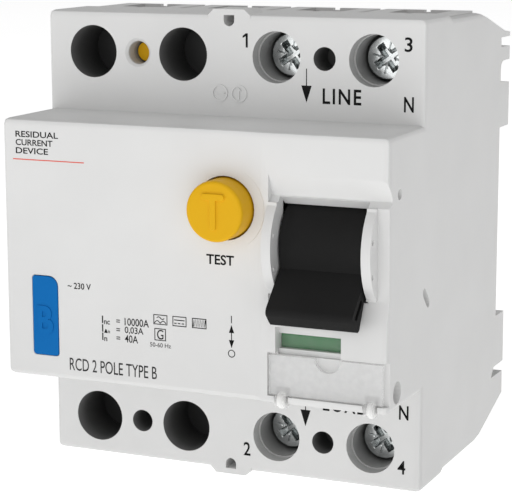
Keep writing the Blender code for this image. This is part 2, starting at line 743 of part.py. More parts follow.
def make_lever():
    pivot = (sum(LEVER_X) / 2, *LEVER_AXIS)
    shape = bmesh.new()
    outline = list(dict.fromkeys(lever_profile()))
    add_prism(shape, outline, "X", *LEVER_X)
    lever = piece("toggle_lever", shape, "lever_black", pivot)
    holes = bmesh.new()
    start = (LEVER_X[0] - 1, *LEVER_AXIS)
    add_rod(holes, start, "X", LEVER_X[1] - LEVER_X[0] + 2, AXLE_RADIUS + GAP, sides=20)
    cut(lever, holes)
    slot = bmesh.new()
    outline = [(-53.8, 13.0), (-53.8, 7.0), (-52.6, 6.5), (-43.0, 1.6), (-43.0, 13.0)]
    add_prism(slot, outline, "X", LINK_X[0] - 0.4, LINK_X[1] + 0.4)
    cut(lever, slot)
    pin_hole = bmesh.new()
    add_rod(pin_hole, (19.7, *crank_pin()), "X", 8.0, 0.8 + GAP, sides=16)
    cut(lever, pin_hole)
    groove = bmesh.new()
    ends = [on_handle(reach, 3 * GROOVE_RADIUS) for reach in GROOVE_REACH]
    line = arc(ends[0], GROOVE_RADIUS, -45, 135, 4) + arc(ends[1], GROOVE_RADIUS, 135, 315, 4)
    add_prism(groove, line, "X", LEVER_X[1] - GROOVE_DEPTH, LEVER_X[1] + 1)
    cut(lever, groove)
    axle = bmesh.new()
    add_rod(axle, (13.8, *LEVER_AXIS), "X", 19.0, AXLE_RADIUS, sides=20)
    piece("toggle_axle", axle, "zinc_steel", pivot)
    pin = bmesh.new()
    add_rod(pin, (20.0, *crank_pin()), "X", 7.4, 0.8, sides=16)
    piece("link_pin", pin, "zinc_steel", (pivot[0], *crank_pin()))


def make_drive_link():
    eye = crank_pin()
    angle = math.radians(LINK_ANGLE)
    end = (eye[0] + LINK_LENGTH * math.cos(angle), eye[1] + LINK_LENGTH * math.sin(angle))
    outline = arc(eye, 1.5, LINK_ANGLE + 90, LINK_ANGLE + 270, 8)
    outline += arc(end, 1.2, LINK_ANGLE - 90, LINK_ANGLE + 90, 8)
    shape = bmesh.new()
    add_prism(shape, outline, "X", *LINK_X)
    link = piece("drive_link", shape, "zinc_steel", (sum(LINK_X) / 2, *eye))
    hole = bmesh.new()
    add_rod(hole, (LINK_X[0] - 1, *eye), "X", 4.2, 0.8 + GAP / 2, sides=16)
    cut(link, hole)


def make_mechanism_frame():
    """Bracket of bent steel that carries the lever axle on both sides."""
    shape = bmesh.new()
    add_box(shape, (13.3, -56.6, -6.5), (32.9, -45.6, 14.4))
    frame = piece("mechanism_frame", shape, "zinc_steel")
    inside = bmesh.new()
    add_box(inside, (14.6, -60.0, -8.0), (31.7, -44.0, 13.2))
    cut(frame, inside)
    hole = bmesh.new()
    add_rod(hole, (12.0, *LEVER_AXIS), "X", 22.0, AXLE_RADIUS + GAP, sides=20)
    cut(frame, hole)


def make_contact_carrier():
    shape = bmesh.new()
    low = (CARRIER_X[0], CARRIER_Y[0], CARRIER_Z[0])
    add_box(shape, low, (CARRIER_X[1], CARRIER_Y[1], CARRIER_Z[1]))
    carrier = piece("contact_carrier", shape, "part_black", (17.5, CARRIER_Y[0], 0))
    pocket = bmesh.new()
    add_box(pocket, (LINK_X[0] - 0.5, CARRIER_Y[0] - 1, -0.8), (LINK_X[1] + 0.5, -39.6, 9.5))
    cut(carrier, pocket)
    seats = bmesh.new()
    for x in POLE_X:
        add_rod(seats, (x, -40.8, 2.0), "Y", 5.0, 2.3, sides=20)
    cut(carrier, seats)
    for name, x in zip(("line", "neutral"), POLE_X):
        bridge = bmesh.new()
        add_box(bridge, (x - 2.5, BRIDGE_Y[0], -8.8), (x + 2.5, BRIDGE_Y[1], 8.8))
        contact = piece(f"moving_contact_{name}", bridge, "copper")
        tips = bmesh.new()
        for z in (-CONTACT_Z, CONTACT_Z):
            add_rod(tips, (x, BRIDGE_Y[1] - 0.3, z), "Y", 1.0, CONTACT_RADIUS, sides=16)
        join(contact, tips)
        make_spring(f"contact_spring_{name}", (x, -40.4, 2.0), "Y", 2.8, 1.7, 0.22, 3)


def make_spring(name, start, axis, length, radius, wire, turns):
    """A compression spring along an axis from the point start, made from a bevelled curve."""
    curve = bpy.data.curves.new(name, "CURVE")
    curve.dimensions = "3D"
    curve.bevel_depth = wire * MM
    curve.bevel_resolution = 0
    curve.use_fill_caps = True
    steps = turns * 10
    spline = curve.splines.new("POLY")
    spline.points.add(steps)
    across = {"X": ("Y", "Z"), "Y": ("Z", "X"), "Z": ("X", "Y")}[axis]
    rise = length - 2 * wire
    for step in range(steps + 1):
        angle = 2 * math.pi * turns * step / steps
        place = AXIS[across[0]] * (radius * math.cos(angle))
        place = place + AXIS[across[1]] * (radius * math.sin(angle))
        place = place + AXIS[axis] * (wire + rise * step / steps)
        spline.points[step].co = (*(place * MM), 1)
    obj = bpy.data.objects.new(name, curve)
    obj.location = Vector(start) * MM
    curve.materials.append(MATERIALS["spring_steel"])
    bpy.context.scene.collection.objects.link(obj)


def make_contact_base():
    """Moulded block that carries the fixed contacts and the seat of the main spring."""
    shape = bmesh.new()
    add_box(shape, (4.2, -27.1, -15.0), (31.0, -25.0, 15.0))
    base = piece("contact_base", shape, "part_black")
    seat = bmesh.new()
    add_rod(seat, (17.5, -31.4, 1.5), "Y", 4.6, 3.2, sides=20)
    join(base, seat)
    bore = bmesh.new()
    add_rod(bore, (17.5, -32.0, 1.5), "Y", 3.4, 2.5, sides=20)
    cut(base, bore)
    make_spring("main_spring", (17.5, -37.1, 1.5), "Y", 8.2, 1.9, 0.3, 5)


def make_arc_chutes():
    for name, x in zip(("line", "neutral"), POLE_X):
        shape = bmesh.new()
        add_box(shape, (x - 4.0, -40.4, 11.0), (x + 4.0, -30.4, 20.2))
        chute = piece(f"arc_chute_{name}", shape, "zinc_steel")
        gaps = bmesh.new()
        for index in range(5):
            low = 11.8 + index * 1.7
            add_box(gaps, (x - 3.4, -42.0, low), (x + 3.4, -31.0, low + 1.1))
        cut(chute, gaps)


def make_trip_parts():
    shape = bmesh.new()
    add_box(shape, (13.2, -38.0, -24.5), (21.8, -27.6, -12.8))
    relay = piece("trip_relay", shape, "part_black")
    cheeks = bmesh.new()
    for x in (15.0, 18.9):
        add_box(cheeks, (x, -36.4, -13.4), (x + 1.1, -33.8, -6.2))
    join(relay, cheeks)
    holes = bmesh.new()
    add_rod(holes, (14.0, -35.1, -7.5), "X", 7.0, 0.6 + GAP / 2, sides=12)
    add_rod(holes, (17.5, -30.6, -16.0), "Z", 5.0, 1.3, sides=16)
    cut(relay, holes)
    plunger = bmesh.new()
    add_rod(plunger, (17.5, -30.6, -15.6), "Z", 7.1, 1.0, sides=16)
    piece("trip_plunger", plunger, "zinc_steel", (17.5, -30.6, -15.6))
    outline = [(-38.9, -5.2), (-38.9, -8.2), (-29.6, -8.2), (-29.6, -6.8), (-37.7, -6.8), (-37.7, -5.2)]
    latch_shape = bmesh.new()
    add_prism(latch_shape, outline, "X", 16.4, 18.6)
    latch = piece("latch_lever", latch_shape, "zinc_steel", (17.5, -35.1, -7.5))
    hole = bmesh.new()
    add_rod(hole, (15.0, -35.1, -7.5), "X", 5.0, 0.45, sides=12)
    cut(latch, hole)
    pin = bmesh.new()
    add_rod(pin, (15.1, -35.1, -7.5), "X", 4.8, 0.3, sides=12)
    piece("latch_pin", pin, "zinc_steel", (17.5, -35.1, -7.5))


def sweep_ring(shape, loops, start, end, steps):
    """Sweeps closed (radius, z) loops about the vertical axis of the current transformer."""
    full = abs(end - start) >= 360
    rings = []
    for step in range(steps + (0 if full else 1)):
        angle = math.radians(start + (end - start) * step / steps)
        ring = []
        for loop in loops:
            corners = []
            for radius, z in loop:
                x = CORE_CENTRE[0] + radius * math.cos(angle)
                corners.append(shape.verts.new((x, CORE_CENTRE[1] + radius * math.sin(angle), z)))
            ring.append(corners)
        rings.append(ring)
    pairs = list(zip(rings, rings[1:] + (rings[:1] if full else [])))
    for first, second in pairs:
        for near, far in zip(first, second):
            for index in range(len(near)):
                after = (index + 1) % len(near)
                shape.faces.new((near[index], near[after], far[after], far[index]))
    if not full:
        for outer, inner in (rings[0], rings[-1]):
            for index in range(len(outer)):
                after = (index + 1) % len(outer)
                shape.faces.new((outer[index], outer[after], inner[after], inner[index]))


def make_current_transformer():
    core = bmesh.new()
    half = CORE_HALF_HEIGHT
    section = rectangle((CORE_RADII[0], -half), (CORE_RADII[1], half))
    sweep_ring(core, [section], 0, 360, 36)
    piece("summation_core", core, "part_black", (*CORE_CENTRE, 0))
    winding = bmesh.new()
    inner = rectangle((CORE_RADII[0] - GAP, -half - GAP), (CORE_RADII[1] + GAP, half + GAP))
    outer = rectangle((CORE_RADII[0] - 1.4, -half - 1.4), (CORE_RADII[1] + 1.4, half + 1.4))
    sweep_ring(winding, [outer, inner], 30, 30 + WINDING_SWEEP, 30)
    piece("secondary_winding", winding, "copper", (*CORE_CENTRE, 0))


def make_wire(name, route, radius):
    curve = bpy.data.curves.new(name, "CURVE")
    curve.dimensions = "3D"
    curve.bevel_depth = radius * MM
    curve.bevel_resolution = 1
    curve.use_fill_caps = True
    spline = curve.splines.new("POLY")
    spline.points.add(len(route) - 1)
    for point, place in zip(spline.points, route):
        point.co = (*(Vector(place) * MM), 1)
    obj = bpy.data.objects.new(name, curve)
    curve.materials.append(MATERIALS["copper"])
    bpy.context.scene.collection.objects.link(obj)


def make_primary_conductors():
    """Both conductors pass once up through the core, then go down to the lower terminals."""
    near, far = CORE_CENTRE[0] + 2.7, CORE_CENTRE[0] - 2.7
    line_x, neutral_x = POLE_X
    line = [
        (line_x, -20.8, -17.5),
        (near + 3, -20.8, -17.5),
        (near, -20.0, -14.5),
        (near, -20.0, 12.5),
        (near + 3, -20.0, 15.0),
        (-3.5, -18.0, 15.0),
        (-1.0, -14.0, 13.0),
        (-1.0, -14.0, -18.5),
        (1.5, -14.0, -21.5),
        (line_x - 2, -14.0, -21.5),
        (line_x, -16.0, -23.5),
        (line_x, -20.3, -26.6),
    ]
    neutral = [
        (neutral_x, -20.8, -17.5),
        (neutral_x - 2, -18.0, -15.0),
        (neutral_x - 5, -16.4, -13.5),
        (far + 3, -16.4, -13.5),
        (far, -18.0, -10.5),
        (far, -20.0, -8.0),
        (far, -20.0, 11.0),
        (far + 2, -24.0, 18.0),
        (-0.5, -24.0, 18.5),
        (2.2, -21.0, 18.5),
        (2.2, -10.0, 17.0),
        (2.2, -10.0, -22.0),
        (4.5, -10.0, -24.2),
        (neutral_x - 2, -10.0, -24.2),
        (neutral_x, -12.0, -24.8),
        (neutral_x, -20.3, -26.6),
    ]
    make_wire("primary_conductor_line", line, 1.1)
    make_wire("primary_conductor_neutral", neutral, 1.1)


def make_electronics():
    shape = bmesh.new()
    add_box(shape, (-32.4, -45.0, -19.8), (-2.0, -43.4, 19.8))
    piece("circuit_board", shape, "board_green")
    front = -45.0 - GAP
    shape = bmesh.new()
    add_box(shape, (-30.0, front - 10.2, 3.0), (-16.0, front, 17.0))
    bevel_where(shape, lambda edge: True, 0.8, 1)
    piece("power_transformer", shape, "insulator_brown")
    shape = bmesh.new()
    add_rod(shape, (-8.4, front - 4.2, 3.0), "Z", 13.0, 4.0)
    piece("filter_capacitor", shape, "part_black")
    shape = bmesh.new()
    add_box(shape, (-28.0, front - 1.8, -14.0), (-18.0, front, -8.0))
    piece("signal_chip", shape, "part_black")
    shape = bmesh.new()
    add_rod(shape, (-8.0, front - 1.5, -14.0), "Z", 7.0, 1.3, sides=16)
    piece("test_resistor", shape, "insulator_brown")


def letter_t(x, z, width, height, stroke):
    """A capital T with round ends, as (x, z) points."""
    end = stroke / 2
    bar, reach = height / 2 - end, width / 2 - end
    outline = arc((x - reach, z + bar), end, 90, 270, 6) + [(x - end, z + bar - end)]
    outline += arc((x, z - bar), end, 180, 360, 6) + [(x + end, z + bar - end)]
    return outline + arc((x + reach, z + bar), end, -90, 90, 6)


def make_test_button():
    centre = (BUTTON_X, 0, BUTTON_Z)
    back = NOSE_INNER_Y + GAP
    profile = [
        (0, BUTTON_FRONT_Y),
        (BUTTON_RADIUS - 0.6, BUTTON_FRONT_Y),
        (BUTTON_RADIUS - 0.15, BUTTON_FRONT_Y + 0.2),
        (BUTTON_RADIUS, BUTTON_FRONT_Y + 0.7),
        (BUTTON_RADIUS, back),
        (6.1, back),
        (6.1, back + 1.2),
        (2.0, back + 1.2),
        (2.0, -49.2),
        (0, -49.2),
    ]
    shape = bmesh.new()
    add_turned(shape, profile, centre, 48)
    pivot = (BUTTON_X, BUTTON_FRONT_Y, BUTTON_Z)
    button = piece("test_button", shape, "button_yellow", pivot)
    mark = bmesh.new()
    outline = letter_t(BUTTON_X, BUTTON_Z, 4.1, 6.0, 1.05)
    add_prism(mark, outline, "Y", BUTTON_FRONT_Y - 0.4, BUTTON_FRONT_Y + 0.3)
    join(button, mark)
    make_spring("test_spring", (BUTTON_X, -55.4, BUTTON_Z), "Y", 7.6, 3.0, 0.3, 5)
    blade = bmesh.new()
    add_box(blade, (BUTTON_X - 4.5, -46.7, -1.0), (BUTTON_X + 4.5, -46.1, 14.5))
    piece("test_contact_blade", blade, "brass")


def make_small_front_pieces():
    shape = bmesh.new()
    low = (INDICATOR_X[0] + GAP, NOSE_Y + 1.3, WINDOW_Z[0] + GAP)
    add_box(shape, low, (INDICATOR_X[1] - GAP, NOSE_INNER_Y, WINDOW_Z[1] - GAP))
    piece("indicator_window", shape, "clear_plastic")
    shape = bmesh.new()
    add_box(shape, (FLAG_X[0], -57.0, -13.9), (FLAG_X[1], -56.2, -7.7))
    piece("indicator_flag", shape, "flag_green", (sum(FLAG_X) / 2, -56.6, -10.6))
    shape = bmesh.new()
    add_prism(shape, plate_outline(0), "Y", NOSE_Y - 0.15, NOSE_Y + 0.4)
    piece("type_plate", shape, "plate_blue")
    shape = bmesh.new()
    add_rod(shape, (-MODULE, -39.6, TERMINAL_Z[1]), "Y", 2.4, SMALL_HOLE_RADIUS - GAP, sides=20)
    piece("seal_plug", shape, "button_yellow")


def make_label_flap():
    pivot = (sum(FLAP_X) / 2, *FLAP_HINGE)
    shape = bmesh.new()
    low, high = FLAP_Z
    notch = arc((FLAP_NOTCH_X, high), 2.3, 360, 180, 12)
    outline = [(FLAP_X[0], low), (FLAP_X[1], low), (FLAP_X[1], high)] + notch + [(FLAP_X[0], high)]
    add_prism(shape, outline, "Y", *FLAP_Y)
    flap = piece("label_flap", shape, "clear_plastic", pivot)
    lugs = bmesh.new()
    start = math.degrees(math.acos((FLAP_Y[1] - FLAP_HINGE[0]) / FLAP_LUG_RADIUS))
    end = math.degrees(math.acos((FLAP_Y[0] - FLAP_HINGE[0]) / FLAP_LUG_RADIUS)) - 360
    profile = arc(FLAP_HINGE, FLAP_LUG_RADIUS, start, end, 14)
    profile += [(FLAP_Y[0], low + 0.4), (FLAP_Y[1], low + 0.4)]
    for low_x, high_x in FLAP_LUG_X:
        add_prism(lugs, profile, "X", low_x, high_x)
    join(flap, lugs)


def make_rail_clips():
    for name, x in zip(("left", "right"), CLIP_X):
        hook = [(CLIP_Y[0], -18.0), (CLIP_Y[0] + 1.2, CLIP_Z[1]), (CLIP_Y[1], CLIP_Z[1])]
        outline = [(CLIP_Y[1], CLIP_Z[0]), (CLIP_Y[0], CLIP_Z[0])] + hook
        shape = bmesh.new()
        add_prism(shape, outline, "X", x - CLIP_HALF_WIDTH, x + CLIP_HALF_WIDTH)
        clip = piece(f"rail_clip_{name}", shape, "clip_white", (x, sum(CLIP_Y) / 2, CLIP_Z[0]))
        windows = bmesh.new()
        add_box(windows, (x - 2.4, -1.0, -27.5), (x + 2.4, 7.0, -20.6))
        add_box(windows, (x - 2.2, -1.0, -36.8), (x + 2.2, 7.0, -35.6))
        cut(clip, windows)
        make_spring(f"clip_spring_{name}", (x, 2.65, -25.7), "Z", 4.8, 1.0, 0.2, 4)


def main():
    clear_scene()
    make_materials()
    make_front_cover()
    make_rear_base()
    make_base_screws()
    make_terminals()
    make_fixed_contacts()
    make_lever()
    make_drive_link()
    make_mechanism_frame()
    make_contact_carrier()
    make_contact_base()
    make_arc_chutes()
    make_trip_parts()
    make_current_transformer()
    make_primary_conductors()
    make_electronics()
    make_test_button()
    make_small_front_pieces()
    make_label_flap()
    make_rail_clips()


main()
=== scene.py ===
import json
import math

import bmesh
import bpy
from mathutils import Matrix, Vector


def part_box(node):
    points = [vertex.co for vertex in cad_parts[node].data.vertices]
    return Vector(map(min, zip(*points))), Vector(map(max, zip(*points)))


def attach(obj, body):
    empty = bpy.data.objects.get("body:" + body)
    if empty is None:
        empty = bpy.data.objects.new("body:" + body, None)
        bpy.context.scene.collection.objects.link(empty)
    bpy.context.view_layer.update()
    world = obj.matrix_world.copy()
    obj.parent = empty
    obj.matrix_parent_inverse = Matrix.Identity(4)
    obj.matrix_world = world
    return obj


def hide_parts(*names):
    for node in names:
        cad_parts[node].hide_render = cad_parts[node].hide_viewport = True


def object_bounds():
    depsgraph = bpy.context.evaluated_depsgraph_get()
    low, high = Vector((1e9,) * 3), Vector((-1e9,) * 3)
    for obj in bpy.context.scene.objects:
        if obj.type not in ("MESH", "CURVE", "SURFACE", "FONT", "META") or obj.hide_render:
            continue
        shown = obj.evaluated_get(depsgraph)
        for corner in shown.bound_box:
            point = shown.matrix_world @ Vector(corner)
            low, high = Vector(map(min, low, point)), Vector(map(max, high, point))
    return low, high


MM = 0.001
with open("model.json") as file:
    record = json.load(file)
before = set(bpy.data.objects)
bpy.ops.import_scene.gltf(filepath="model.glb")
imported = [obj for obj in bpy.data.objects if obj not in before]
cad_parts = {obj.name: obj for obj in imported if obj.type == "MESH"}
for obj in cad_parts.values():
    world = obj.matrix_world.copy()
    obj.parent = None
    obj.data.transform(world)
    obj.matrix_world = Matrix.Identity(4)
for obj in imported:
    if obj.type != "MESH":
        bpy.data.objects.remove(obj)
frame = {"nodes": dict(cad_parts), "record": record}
cad_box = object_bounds()

# Camera: where it stands, in metres, and how it is turned
CAMERA_PLACE = (0.1327, -0.3317, 0.0587)
CAMERA_AZIMUTH = math.radians(23.87)
CAMERA_ELEVATION = math.radians(10.48)
CAMERA_ROLL = math.radians(-0.11)
CAMERA_LENS = 130.85

# Stage: the floor's half width in metres, its own glow, the world's light and three soft lamps,
# each with its place and target in metres, its width and its power in watts
FLOOR_REACH = 6.0
FLOOR_GLOW = 0.58
WORLD_LIGHT = 0.42
FLOOR_Z = cad_box[0][2]
LIGHTS = (
    ("key", (-0.05, -1.1, 0.32), (0, -0.03, 0), 0.9, 2.6),
    ("low_panel", (0.0, -0.38, FLOOR_Z + 0.004), (0, -0.38, 1.0), 0.5, 0.4),
    ("overhead", (0.0, 0.1, 1.0), (0, -0.03, 0), 0.6, 1.4),
)

# Planes of the cover that carry printing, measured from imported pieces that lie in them
PLATE_PROUD = 0.15 * MM
SCREW_HEAD_DEPTH = 6.9 * MM
NOSE_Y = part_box("type_plate")[0][1] + PLATE_PROUD
SHELF_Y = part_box("terminal_screw_1")[0][1] - SCREW_HEAD_DEPTH

# Terminal bores: one to a module, in two rows that lie a little below the middle
MODULE = 17.5 * MM
TERMINAL_Z = 33.15 * MM
TERMINAL_SHIFT = 0.25 * MM
BORE_RADIUS = 4.68 * MM
HOLE_RADIUS = 2.06 * MM
BORE_ROW_REACH = 31.0 * MM
BORE_END_Y = -31.5 * MM
FACE_MARGIN = 0.1 * MM

# Painted shade: grey level multiplied into a bore's wall at each depth, in units of the painted shade
# length behind the shelf's face, darker deeper in
PAINTED_SHADE_LENGTH = 10 * MM
EMPTY_BORE_PAINTED_SHADE = ((0.0, 0.30), (0.35, 0.15), (0.98, 0.06), (0.995, 0.02))
FITTED_BORE_PAINTED_SHADE = ((0.0, 0.80), (0.245, 0.76), (0.255, 0.58), (0.7, 0.32), (0.85, 0.08))

# Ink: how far it stands proud, how far its letters are thickened and how wide its thin lines are
INK = 0.025 * MM
FINE, PLAIN, BOLD, BOLDER = 0.002, 0.012, 0.018, 0.03
WIDE_SPACING = 1.2
THIN_LINE = 0.14

# Everything below is in millimetres, as the meshes are drawn.
# Dimples that the mould leaves in the guard fins on both sides of the lever
FIN_INNER_X = 16.1
FIN_OUTER_X = 33.2
DIMPLE_Y = -61.5
DIMPLE_HEIGHTS = (6.0, 0.4)
DIMPLE_RADIUS = 0.48
DIMPLE_LENGTH = 1.0
DIMPLE_IN = 0.15

# Flap: its hinge as (y, z), and its knuckles with their ends along the hinge
HINGE = (-59.3, -21.7)
KNUCKLES = (("left", 16.15, 17.55), ("right", 31.85, 33.2))
KNUCKLE_EDGE = ((0.0, 0.0), (0.0, 0.9), (0.15, 1.25), (0.45, 1.5))

# Terminal screws: the head with its rounded rim as (along, radius), and the shank
HEAD_RADIUS = 3.85
SHANK_RADIUS = 2.3
HEAD_THICKNESS = 2.3
SHANK_END_RADIUS = 1.7
HEAD_RIM = ((0.0, 3.4), (0.0, 3.55), (0.1, 3.7), (0.3, 3.82), (0.5, HEAD_RADIUS))

# The screw's cross recess: its arms have sloping sides and ends, and shallow ticks lie between them
RECESS_RINGS = 54
RECESS_RING_STEP = 0.06
RECESS_REACH = 3.3
SCREW_TURN = math.radians(35.0)
ARM_DEPTH = 1.7
ARM_HALF_WIDTH = 0.68
ARM_SIDE_SLOPE = 0.34
ARM_REACH = 2.6
ARM_END_SLOPE = 0.9
TICK_DEPTH = 0.3
TICK_HALF_WIDTH = 0.2
TICK_START = 1.0
TICK_END = 2.7
CENTRE_DEPTH = 0.9
CENTRE_RADIUS = 1.5

# Letter on the type plate, and the round marks that the mould leaves on the upper shelf
LETTER_BOX = (-28.95, -14.7, 3.1, 5.0)
LETTER_RISE = 0.12
MARK_RISE = 0.25
MARK_HEIGHT = 26.5
MARK_CENTRES = (-1.75, 1.85)
MARK_RADII = (1.5, 1.18)
MARK_HALF_LINE = 0.14
ROUND_SIDES = 40


def mm(*values):
    return Vector(values) * MM


# ---------------------------------------------------------------- node helpers


def new_material(name):
    made = bpy.data.materials.new(name)
    made.use_nodes = True
    return made, made.node_tree.nodes, made.node_tree.links


def noise(nodes, links, coords, scale, detail=4.0):
    texture = nodes.new("ShaderNodeTexNoise")
    texture.inputs["Scale"].default_value = scale
    texture.inputs["Detail"].default_value = detail
    links.new(coords.outputs["Object"], texture.inputs["Vector"])
    return texture.outputs["Fac"]


def remap(nodes, links, source, low, high):
    """Spreads the middle of a noise between two values."""
    ramp = nodes.new("ShaderNodeMapRange")
    ramp.inputs["From Min"].default_value = 0.3
    ramp.inputs["From Max"].default_value = 0.7
    ramp.inputs["To Min"].default_value = low
    ramp.inputs["To Max"].default_value = high
    links.new(source, ramp.inputs["Value"])
    return ramp.outputs["Result"]


def colour_stops(nodes, links, source, stops):
    """A ramp through (place, colour) stops, driven by source."""
    ramp = nodes.new("ShaderNodeValToRGB")
    first, last = ramp.color_ramp.elements
    for element, (place, colour) in ((first, stops[0]), (last, stops[-1])):
        element.position = place
        element.color = (*colour, 1)
    for place, colour in stops[1:-1]:
        ramp.color_ramp.elements.new(place).color = (*colour, 1)
    links.new(source, ramp.inputs["Fac"])
    return ramp.outputs["Color"]


def two_tone(nodes, links, source, first, second):
    return colour_stops(nodes, links, source, ((0.35, first), (0.65, second)))


def painted_depth_shade(nodes, links, depth, levels):
    """Painted shade: grey levels set against how deep in a bore the surface lies."""
    return colour_stops(nodes, links, depth, [(place, (level,) * 3) for place, level in levels])


def add_bump(nodes, links, shader, height, strength, distance):
    raised = nodes.new("ShaderNodeBump")
    raised.inputs["Strength"].default_value = strength
    raised.inputs["Distance"].default_value = distance * MM
    links.new(height, raised.inputs["Height"])
    links.new(raised.outputs["Normal"], shader.inputs["Normal"])


def surface(name, first, second, rough, grain, bump, cloud=60.0, metallic=0.0, shine=0.5):
    """Two near tones in soft clouds, uneven roughness and a fine grain that lifts the surface."""
    made, nodes, links = new_material(name)
    shader = nodes["Principled BSDF"]
    coords = nodes.new("ShaderNodeTexCoord")
    clouds = noise(nodes, links, coords, cloud, 5.0)
    fine = noise(nodes, links, coords, grain, 3.0)
    links.new(two_tone(nodes, links, clouds, first, second), shader.inputs["Base Color"])
    links.new(remap(nodes, links, fine, *rough), shader.inputs["Roughness"])
    add_bump(nodes, links, shader, fine, bump, 0.02)
    shader.inputs["Metallic"].default_value = metallic
    shader.inputs["Specular IOR Level"].default_value = shine
    return made


def calculate(nodes, links, operation, first, second=0.0):
    node = nodes.new("ShaderNodeMath")
    node.operation = operation
    for socket, value in zip(node.inputs, (first, second)):
        if isinstance(value, float):
            socket.default_value = value
        else:
            links.new(value, socket)
    return node.outputs[0]


def mixed(nodes, links, factor, first, second, blend="MIX"):
    mix = nodes.new("ShaderNodeMix")
    mix.data_type = "RGBA"
    mix.blend_type = blend
    for socket, value in ((mix.inputs[0], factor), (mix.inputs[6], first), (mix.inputs[7], second)):
        if isinstance(value, (float, tuple)):
            socket.default_value = value
        else:
            links.new(value, socket)
    return mix.outputs[2]


def housing_with_painted_bore_shade():
    """White plastic with painted shade darkening the walls of the terminal bores, more so deeper in."""
    made = surface("moulded_white_painted_bore_shade", (0.700, 0.700, 0.695), (0.725, 0.725, 0.72), (0.42, 0.52), 2600.0, 0.10)
    nodes, links = made.node_tree.nodes, made.node_tree.links
    shader = nodes["Principled BSDF"]
    tone = shader.inputs["Base Color"].links[0].from_socket
    split = nodes.new("ShaderNodeSeparateXYZ")
    coords = nodes.new("ShaderNodeTexCoord")
    links.new(coords.outputs["Object"], split.inputs[0])
    x, y, z = split.outputs

    def run(operation, first, second=0.0):
        return calculate(nodes, links, operation, first, second)

    def within_radius(across, up, radius):
        squares = run("ADD", run("MULTIPLY", across, across), run("MULTIPLY", up, up))
        return run("LESS_THAN", run("SQRT", squares), radius)

    # Painted shade: masks that pick out the walls of the terminal bores and small holes for darkening
    half = MODULE / 2
    across_bore = run("ABSOLUTE", run("SUBTRACT", run("MODULO", run("ABSOLUTE", x), MODULE), half))
    across_hole = run("SUBTRACT", half, across_bore)
    up = run("SUBTRACT", run("ABSOLUTE", run("ADD", z, TERMINAL_SHIFT)), TERMINAL_Z)
    in_bore = within_radius(across_bore, up, BORE_RADIUS)
    in_hole = within_radius(across_hole, up, HOLE_RADIUS)
    behind_face = run("GREATER_THAN", y, SHELF_Y + FACE_MARGIN)
    before_end = run("LESS_THAN", y, BORE_END_Y)
    in_row = run("LESS_THAN", run("ABSOLUTE", x), BORE_ROW_REACH)
    within = run("MULTIPLY", in_row, run("MULTIPLY", behind_face, before_end))
    inside = run("MULTIPLY", run("MAXIMUM", in_bore, in_hole), within)
    with_screw = run("MULTIPLY", run("GREATER_THAN", x, 0.0), in_bore)
    upper_left = run("MULTIPLY", run("LESS_THAN", x, 0.0), run("GREATER_THAN", z, 0.0))
    with_plug = run("MULTIPLY", upper_left, in_hole)
    depth = run("DIVIDE", run("SUBTRACT", y, SHELF_Y), PAINTED_SHADE_LENGTH)
    dark = painted_depth_shade(nodes, links, depth, EMPTY_BORE_PAINTED_SHADE)
    light = painted_depth_shade(nodes, links, depth, FITTED_BORE_PAINTED_SHADE)
    # Painted shade multiplied into the white: lighter levels where a screw or plug sits, darker ones in the
    # empty bores, none outside them
    shade = mixed(nodes, links, run("MAXIMUM", with_screw, with_plug), dark, light)
    shade = mixed(nodes, links, inside, (1.0, 1.0, 1.0, 1.0), shade)
    links.new(mixed(nodes, links, 1.0, tone, shade, "MULTIPLY"), shader.inputs["Base Color"])
    return made


def clear_surface(name, alpha):
    """Thin clear plastic: mostly see-through, with a gloss that haze breaks up."""
    made, nodes, links = new_material(name)
    shader = nodes["Principled BSDF"]
    coords = nodes.new("ShaderNodeTexCoord")
    haze = noise(nodes, links, coords, 900.0, 3.0)
    tone = two_tone(nodes, links, haze, (0.86, 0.86, 0.86), (0.90, 0.90, 0.90))
    links.new(tone, shader.inputs["Base Color"])
    links.new(remap(nodes, links, haze, 0.05, 0.14), shader.inputs["Roughness"])
    links.new(remap(nodes, links, haze, *alpha), shader.inputs["Alpha"])
    shader.inputs["IOR"].default_value = 1.49
    return made


def board_surface():
    """Circuit board: green lacquer over slightly raised copper tracks."""
    made, nodes, links = new_material("board_green")
    shader = nodes["Principled BSDF"]
    coords = nodes.new("ShaderNodeTexCoord")
    tracks = nodes.new("ShaderNodeTexBrick")
    tracks.inputs["Scale"].default_value = 120.0
    tracks.inputs["Mortar Size"].default_value = 0.06
    tracks.inputs["Color1"].default_value = (0.010, 0.110, 0.045, 1)
    tracks.inputs["Color2"].default_value = (0.012, 0.135, 0.055, 1)
    tracks.inputs["Mortar"].default_value = (0.045, 0.240, 0.090, 1)
    links.new(coords.outputs["Object"], tracks.inputs["Vector"])
    links.new(tracks.outputs["Color"], shader.inputs["Base Color"])
    add_bump(nodes, links, shader, tracks.outputs["Fac"], 0.4, 0.03)
    shader.inputs["Roughness"].default_value = 0.32
    return made


def winding_surface():
    """Enamelled copper wire lying turn beside turn around the core."""
    made, nodes, links = new_material("enamelled_winding")
    shader = nodes["Principled BSDF"]
    coords = nodes.new("ShaderNodeTexCoord")
    turns = nodes.new("ShaderNodeTexWave")
    turns.inputs["Scale"].default_value = 500.0
    turns.inputs["Distortion"].default_value = 1.5
    links.new(coords.outputs["Object"], turns.inputs["Vector"])
    tone = two_tone(nodes, links, turns.outputs["Fac"], (0.33, 0.10, 0.035), (0.62, 0.25, 0.10))
    links.new(tone, shader.inputs["Base Color"])
    add_bump(nodes, links, shader, turns.outputs["Fac"], 0.6, 0.1)
    shader.inputs["Metallic"].default_value = 0.8
    shader.inputs["Roughness"].default_value = 0.35
    return made


# ---------------------------------------------------------------- materials


